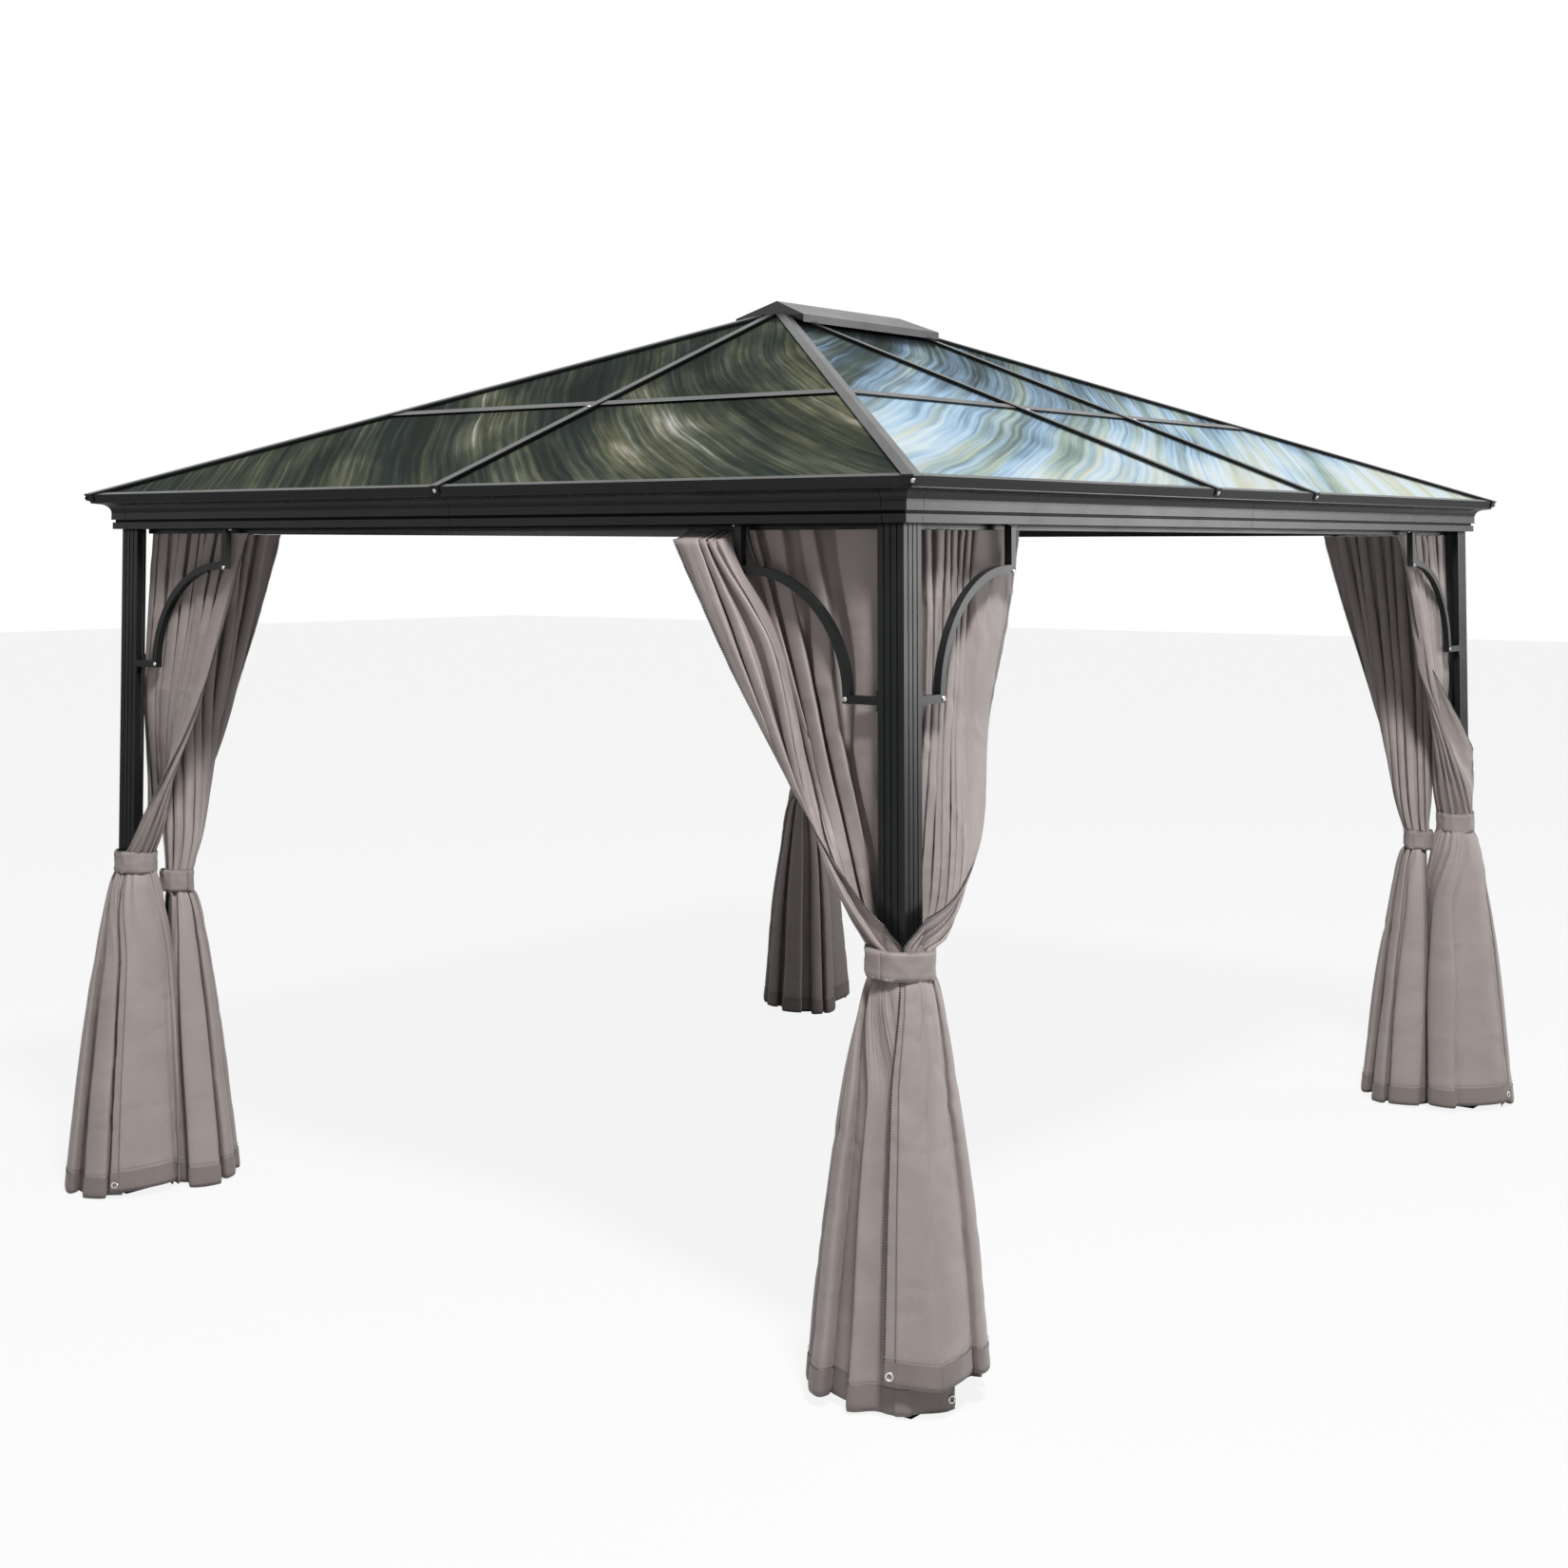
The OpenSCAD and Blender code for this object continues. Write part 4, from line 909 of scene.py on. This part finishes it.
def finish_group(group, start, end, points, rotation):
    """Sets a copy of the template on the points, realizes it and gives it its material."""
    template = group.nodes.new("GeometryNodeObjectInfo")
    copies = group.nodes.new("GeometryNodeInstanceOnPoints")
    solid = group.nodes.new("GeometryNodeRealizeInstances")
    dress = group.nodes.new("GeometryNodeSetMaterial")
    link = group.links.new
    link(start.outputs["Template"], template.inputs["Object"])
    link(points, copies.inputs["Points"])
    link(template.outputs["Geometry"], copies.inputs["Instance"])
    link(rotation, copies.inputs["Rotation"])
    link(copies.outputs["Instances"], solid.inputs["Geometry"])
    link(solid.outputs["Geometry"], dress.inputs["Geometry"])
    link(start.outputs["Material"], dress.inputs["Material"])
    link(dress.outputs["Geometry"], end.inputs["Geometry"])


print("shared parts of the groups ready")

# %% [markdown]
# One group sets a copy on each point of a mesh, turned to a stored direction. The other follows lines: it
# makes curves of their edges, resamples them evenly and turns each copy along the line.

# %% Node groups
def marks_group():
    """Copies on points, with the template's Z along the attribute facing."""
    group, start, end = new_group("copies_on_marks", [("Template", "NodeSocketObject"),
                                                      ("Material", "NodeSocketMaterial")])
    facing = group.nodes.new("GeometryNodeInputNamedAttribute")
    facing.data_type = "FLOAT_VECTOR"
    facing.inputs["Name"].default_value = "facing"
    turn = group.nodes.new("FunctionNodeAlignRotationToVector")
    turn.axis = "Z"
    group.links.new(facing.outputs["Attribute"], turn.inputs["Vector"])
    finish_group(group, start, end, start.outputs["Geometry"], turn.outputs["Rotation"])
    return group


def path_group():
    """Copies along lines at an even pitch, with the template's X along the line."""
    group, start, end = new_group("copies_on_path", [("Template", "NodeSocketObject"),
                                                     ("Material", "NodeSocketMaterial"),
                                                     ("Pitch", "NodeSocketFloat")])
    curve = group.nodes.new("GeometryNodeMeshToCurve")
    even = group.nodes.new("GeometryNodeResampleCurve")
    even.mode = "LENGTH"
    along = group.nodes.new("GeometryNodeInputTangent")
    turn = group.nodes.new("FunctionNodeAlignRotationToVector")
    turn.axis = "X"
    link = group.links.new
    link(start.outputs["Geometry"], curve.inputs["Mesh"])
    link(curve.outputs["Curve"], even.inputs["Curve"])
    link(start.outputs["Pitch"], even.inputs["Length"])
    link(along.outputs["Tangent"], turn.inputs["Vector"])
    finish_group(group, start, end, even.outputs["Curve"], turn.outputs["Rotation"])
    return group


MARKS, PATH = marks_group(), path_group()
print("node groups:", MARKS.name, PATH.name)

# %% [markdown]
# The templates are small turned or tapered forms. A profile spun round an axis gives a screw head with
# a socket and a rolled eyelet, and a tapered block gives a stitch or a zip tooth.

# %% Templates
def turned(name, profile, sides=14):
    """A solid of revolution about Z from (radius, height) pairs; a radius of 0 closes it."""
    work = bmesh.new()
    rings = []
    for radius, height in profile:
        if radius == 0:
            rings.append([work.verts.new((0, 0, height))])
        else:
            rings.append([work.verts.new((radius * math.cos(2 * math.pi * i / sides),
                                          radius * math.sin(2 * math.pi * i / sides), height))
                          for i in range(sides)])
    for low, high in zip(rings, rings[1:]):
        for i in range(sides):
            j = (i + 1) % sides
            corners = [low[i % len(low)], low[j % len(low)], high[j % len(high)], high[i % len(high)]]
            work.faces.new(list(dict.fromkeys(corners)))
    bmesh.ops.recalc_face_normals(work, faces=work.faces)
    mesh = bpy.data.meshes.new(name)
    work.to_mesh(mesh)
    work.free()
    return bpy.data.objects.new(name, mesh)


def tapered(name, length, width, height):
    """A small block that narrows to its ends and its top."""
    points = []
    for x, share in ((-0.5, 0.45), (-0.25, 1.0), (0.25, 1.0), (0.5, 0.45)):
        for y, z in ((-0.5, -0.5), (0.5, -0.5), (0.3, 0.5), (-0.3, 0.5)):
            points.append((x * length, y * width * share, z * height * share))
    faces = [(3, 2, 1, 0), (12, 13, 14, 15)]
    for ring in range(3):
        for side in range(4):
            a, b = ring * 4 + side, ring * 4 + (side + 1) % 4
            faces.append((a, b, b + 4, a + 4))
    mesh = bpy.data.meshes.new(name)
    mesh.from_pydata(points, [], faces)
    return bpy.data.objects.new(name, mesh)


print("template forms ready")

# %% [markdown]
# A piece that is handed on has to be a plain mesh. So the node group runs on a carrier of points or lines,
# the evaluated result takes the carrier's place, and the template is cleared away.

# %% Bake the copies
def bake_copies(name, group, points, edges, template, material, extra=None, facing=None):
    """Runs a node group on points or lines, keeps the result as a mesh and clears the helpers."""
    carrier_mesh = bpy.data.meshes.new(name + "_points")
    carrier_mesh.from_pydata([tuple(p) for p in points], edges, [])
    if facing is not None:
        stored = carrier_mesh.attributes.new("facing", "FLOAT_VECTOR", "POINT")
        stored.data.foreach_set("vector", np.array(facing, dtype=np.float32).ravel())
    carrier = bpy.data.objects.new(name, carrier_mesh)
    scene.collection.objects.link(carrier)
    scene.collection.objects.link(template)
    modifier = carrier.modifiers.new("copies", "NODES")
    modifier.node_group = group
    values = {"Template": template, "Material": material, **(extra or {})}
    for item in group.interface.items_tree:
        if item.in_out == "INPUT" and item.name in values:
            modifier[item.identifier] = values[item.name]
    carrier.update_tag()
    bpy.context.view_layer.update()
    baked = bpy.data.meshes.new_from_object(carrier.evaluated_get(bpy.context.evaluated_depsgraph_get()))
    carrier.modifiers.clear()
    carrier.data = baked
    baked.name = name
    bpy.data.objects.remove(template)
    bpy.data.meshes.remove(carrier_mesh)
    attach(carrier, "root")
    print(name, "from", len(points), "points, faces:", len(baked.polygons))
    return carrier


print("baking ready for", MARKS.name, "and", PATH.name)

# %% [markdown]
# Bright screws hold the brackets, the end tabs of the rails and the upper rafters. A typed place could
# miss the face by a hair, so only a line to it is typed. A ray is shot along it at the part that the
# screw holds, and the screw sits where it lands, square to the face.

# %% Screws
BRACKET_SCREWS = ((0.163, 1.557), (0.475, 1.846))
BRACKET_FOOT = (0.492, 0.010, 1.6)
EAVE_Z = 2.052
RAIL_SCREW = 0.90


def landing(node, start, way):
    """Where a ray lands on a CAD node, with the face's normal."""
    found, place, normal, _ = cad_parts[node].ray_cast(Vector(start), Vector(way).normalized())
    return (place, normal) if found else None


shots = []
for corner, (sx, sy) in CORNERS.items():
    for along in ("X", "Y"):
        for run, height in BRACKET_SCREWS:
            start = place_world((sx, sy), along, np.array([run, -0.2, height]))
            way = (0, -sy, 0) if along == "X" else (-sx, 0, 0)
            shots.append(("brackets_" + corner, start, way))
        foot = place_world((sx, sy), along, np.array(BRACKET_FOOT))
        shots.append(("brackets_" + corner, foot, (0, 0, 1)))
    shots.append(("hip_" + corner, (sx * 2.6, sy * 2.275, EAVE_Z), (-sx, -sy, 0)))
half_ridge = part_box("eave_trim_front")[1][0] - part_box("eave_trim_right")[1][1]
for side, sy in (("front", -1), ("back", 1)):
    for x in (-half_ridge, half_ridge):
        shots.append(("rafters_" + side, (x, sy * 2.4, EAVE_Z), (0, -sy, 0)))
        shots.append(("rafters_" + side, (x, sy * RAIL_SCREW, 3.0), (0, 0, -1)))
for side, sx in (("left", -1), ("right", 1)):
    shots.append(("rafters_" + side, (sx * 2.8, 0.0, EAVE_Z), (-sx, 0, 0)))
    shots.append(("rafters_" + side, (sx * (half_ridge + RAIL_SCREW), 0.0, 3.0), (0, 0, -1)))
landed = [spot for spot in (landing(*shot) for shot in shots) if spot]
screw = turned("screw", [(0.0062, -0.001), (0.0062, 0.0012), (0.0052, 0.0026), (0.0034, 0.0034),
                         (0.0028, 0.0034), (0.0026, 0.0016), (0, 0.0016)])
screws = bake_copies("screws", MARKS, [p for p, n in landed], [], screw, STEEL, facing=[n for p, n in landed])
print("screws on", len(landed), "of", len(shots), "places")

# %% [markdown]
# The eyelets sit in the hem near its two ends, and the zip runs down the leading edge. The stitches follow
# the top of the hem band. All of them read their places off the curtain's own grid, so they stay on the
# cloth when its folds change.

# %% Eyelets, zips and stitches
EYELET_COLUMNS = (COLUMNS - 5, 6)
EYELET_ROW = ROWS - 1 - TURN_UP // 2
STITCH_ROW = ROWS - 2 - TURN_UP
EYELET_LIFT, STITCH_LIFT = 0.0034, 0.0024

spots, facings = [], []
lines = {"zip": ([], []), "stitch": ([], [])}


def add_line(kind, points):
    """Adds an open line of points to the lines of a kind."""
    dots, edges = lines[kind]
    first = len(dots)
    dots.extend(points)
    edges.extend((i, i + 1) for i in range(first, first + len(points) - 1))


for points in curtain_points.values():
    normals = outward_normals(points)
    for column in EYELET_COLUMNS:
        spots.append(points[EYELET_ROW, column] + EYELET_LIFT * normals[EYELET_ROW, column])
        facings.append(normals[EYELET_ROW, column])
    add_line("zip", points[2:-1, -1])
    add_line("stitch", points[STITCH_ROW] + STITCH_LIFT * normals[STITCH_ROW])

eyelet = turned("eyelet", [(0.0055, -0.002), (0.0055, 0.0006), (0.0066, 0.0016), (0.0088, 0.0014),
                           (0.0102, 0.0), (0.0088, -0.001)])
eyelets = bake_copies("eyelets", MARKS, spots, [], eyelet, STEEL, facing=facings)
zips = bake_copies("zips", PATH, *lines["zip"], tapered("tooth", 0.0036, 0.0050, 0.0030), PLASTIC,
                   extra={"Pitch": 0.006})
stitches = bake_copies("stitches", PATH, *lines["stitch"], tapered("stitch", 0.0055, 0.0012, 0.0012), TIE,
                       extra={"Pitch": 0.008})
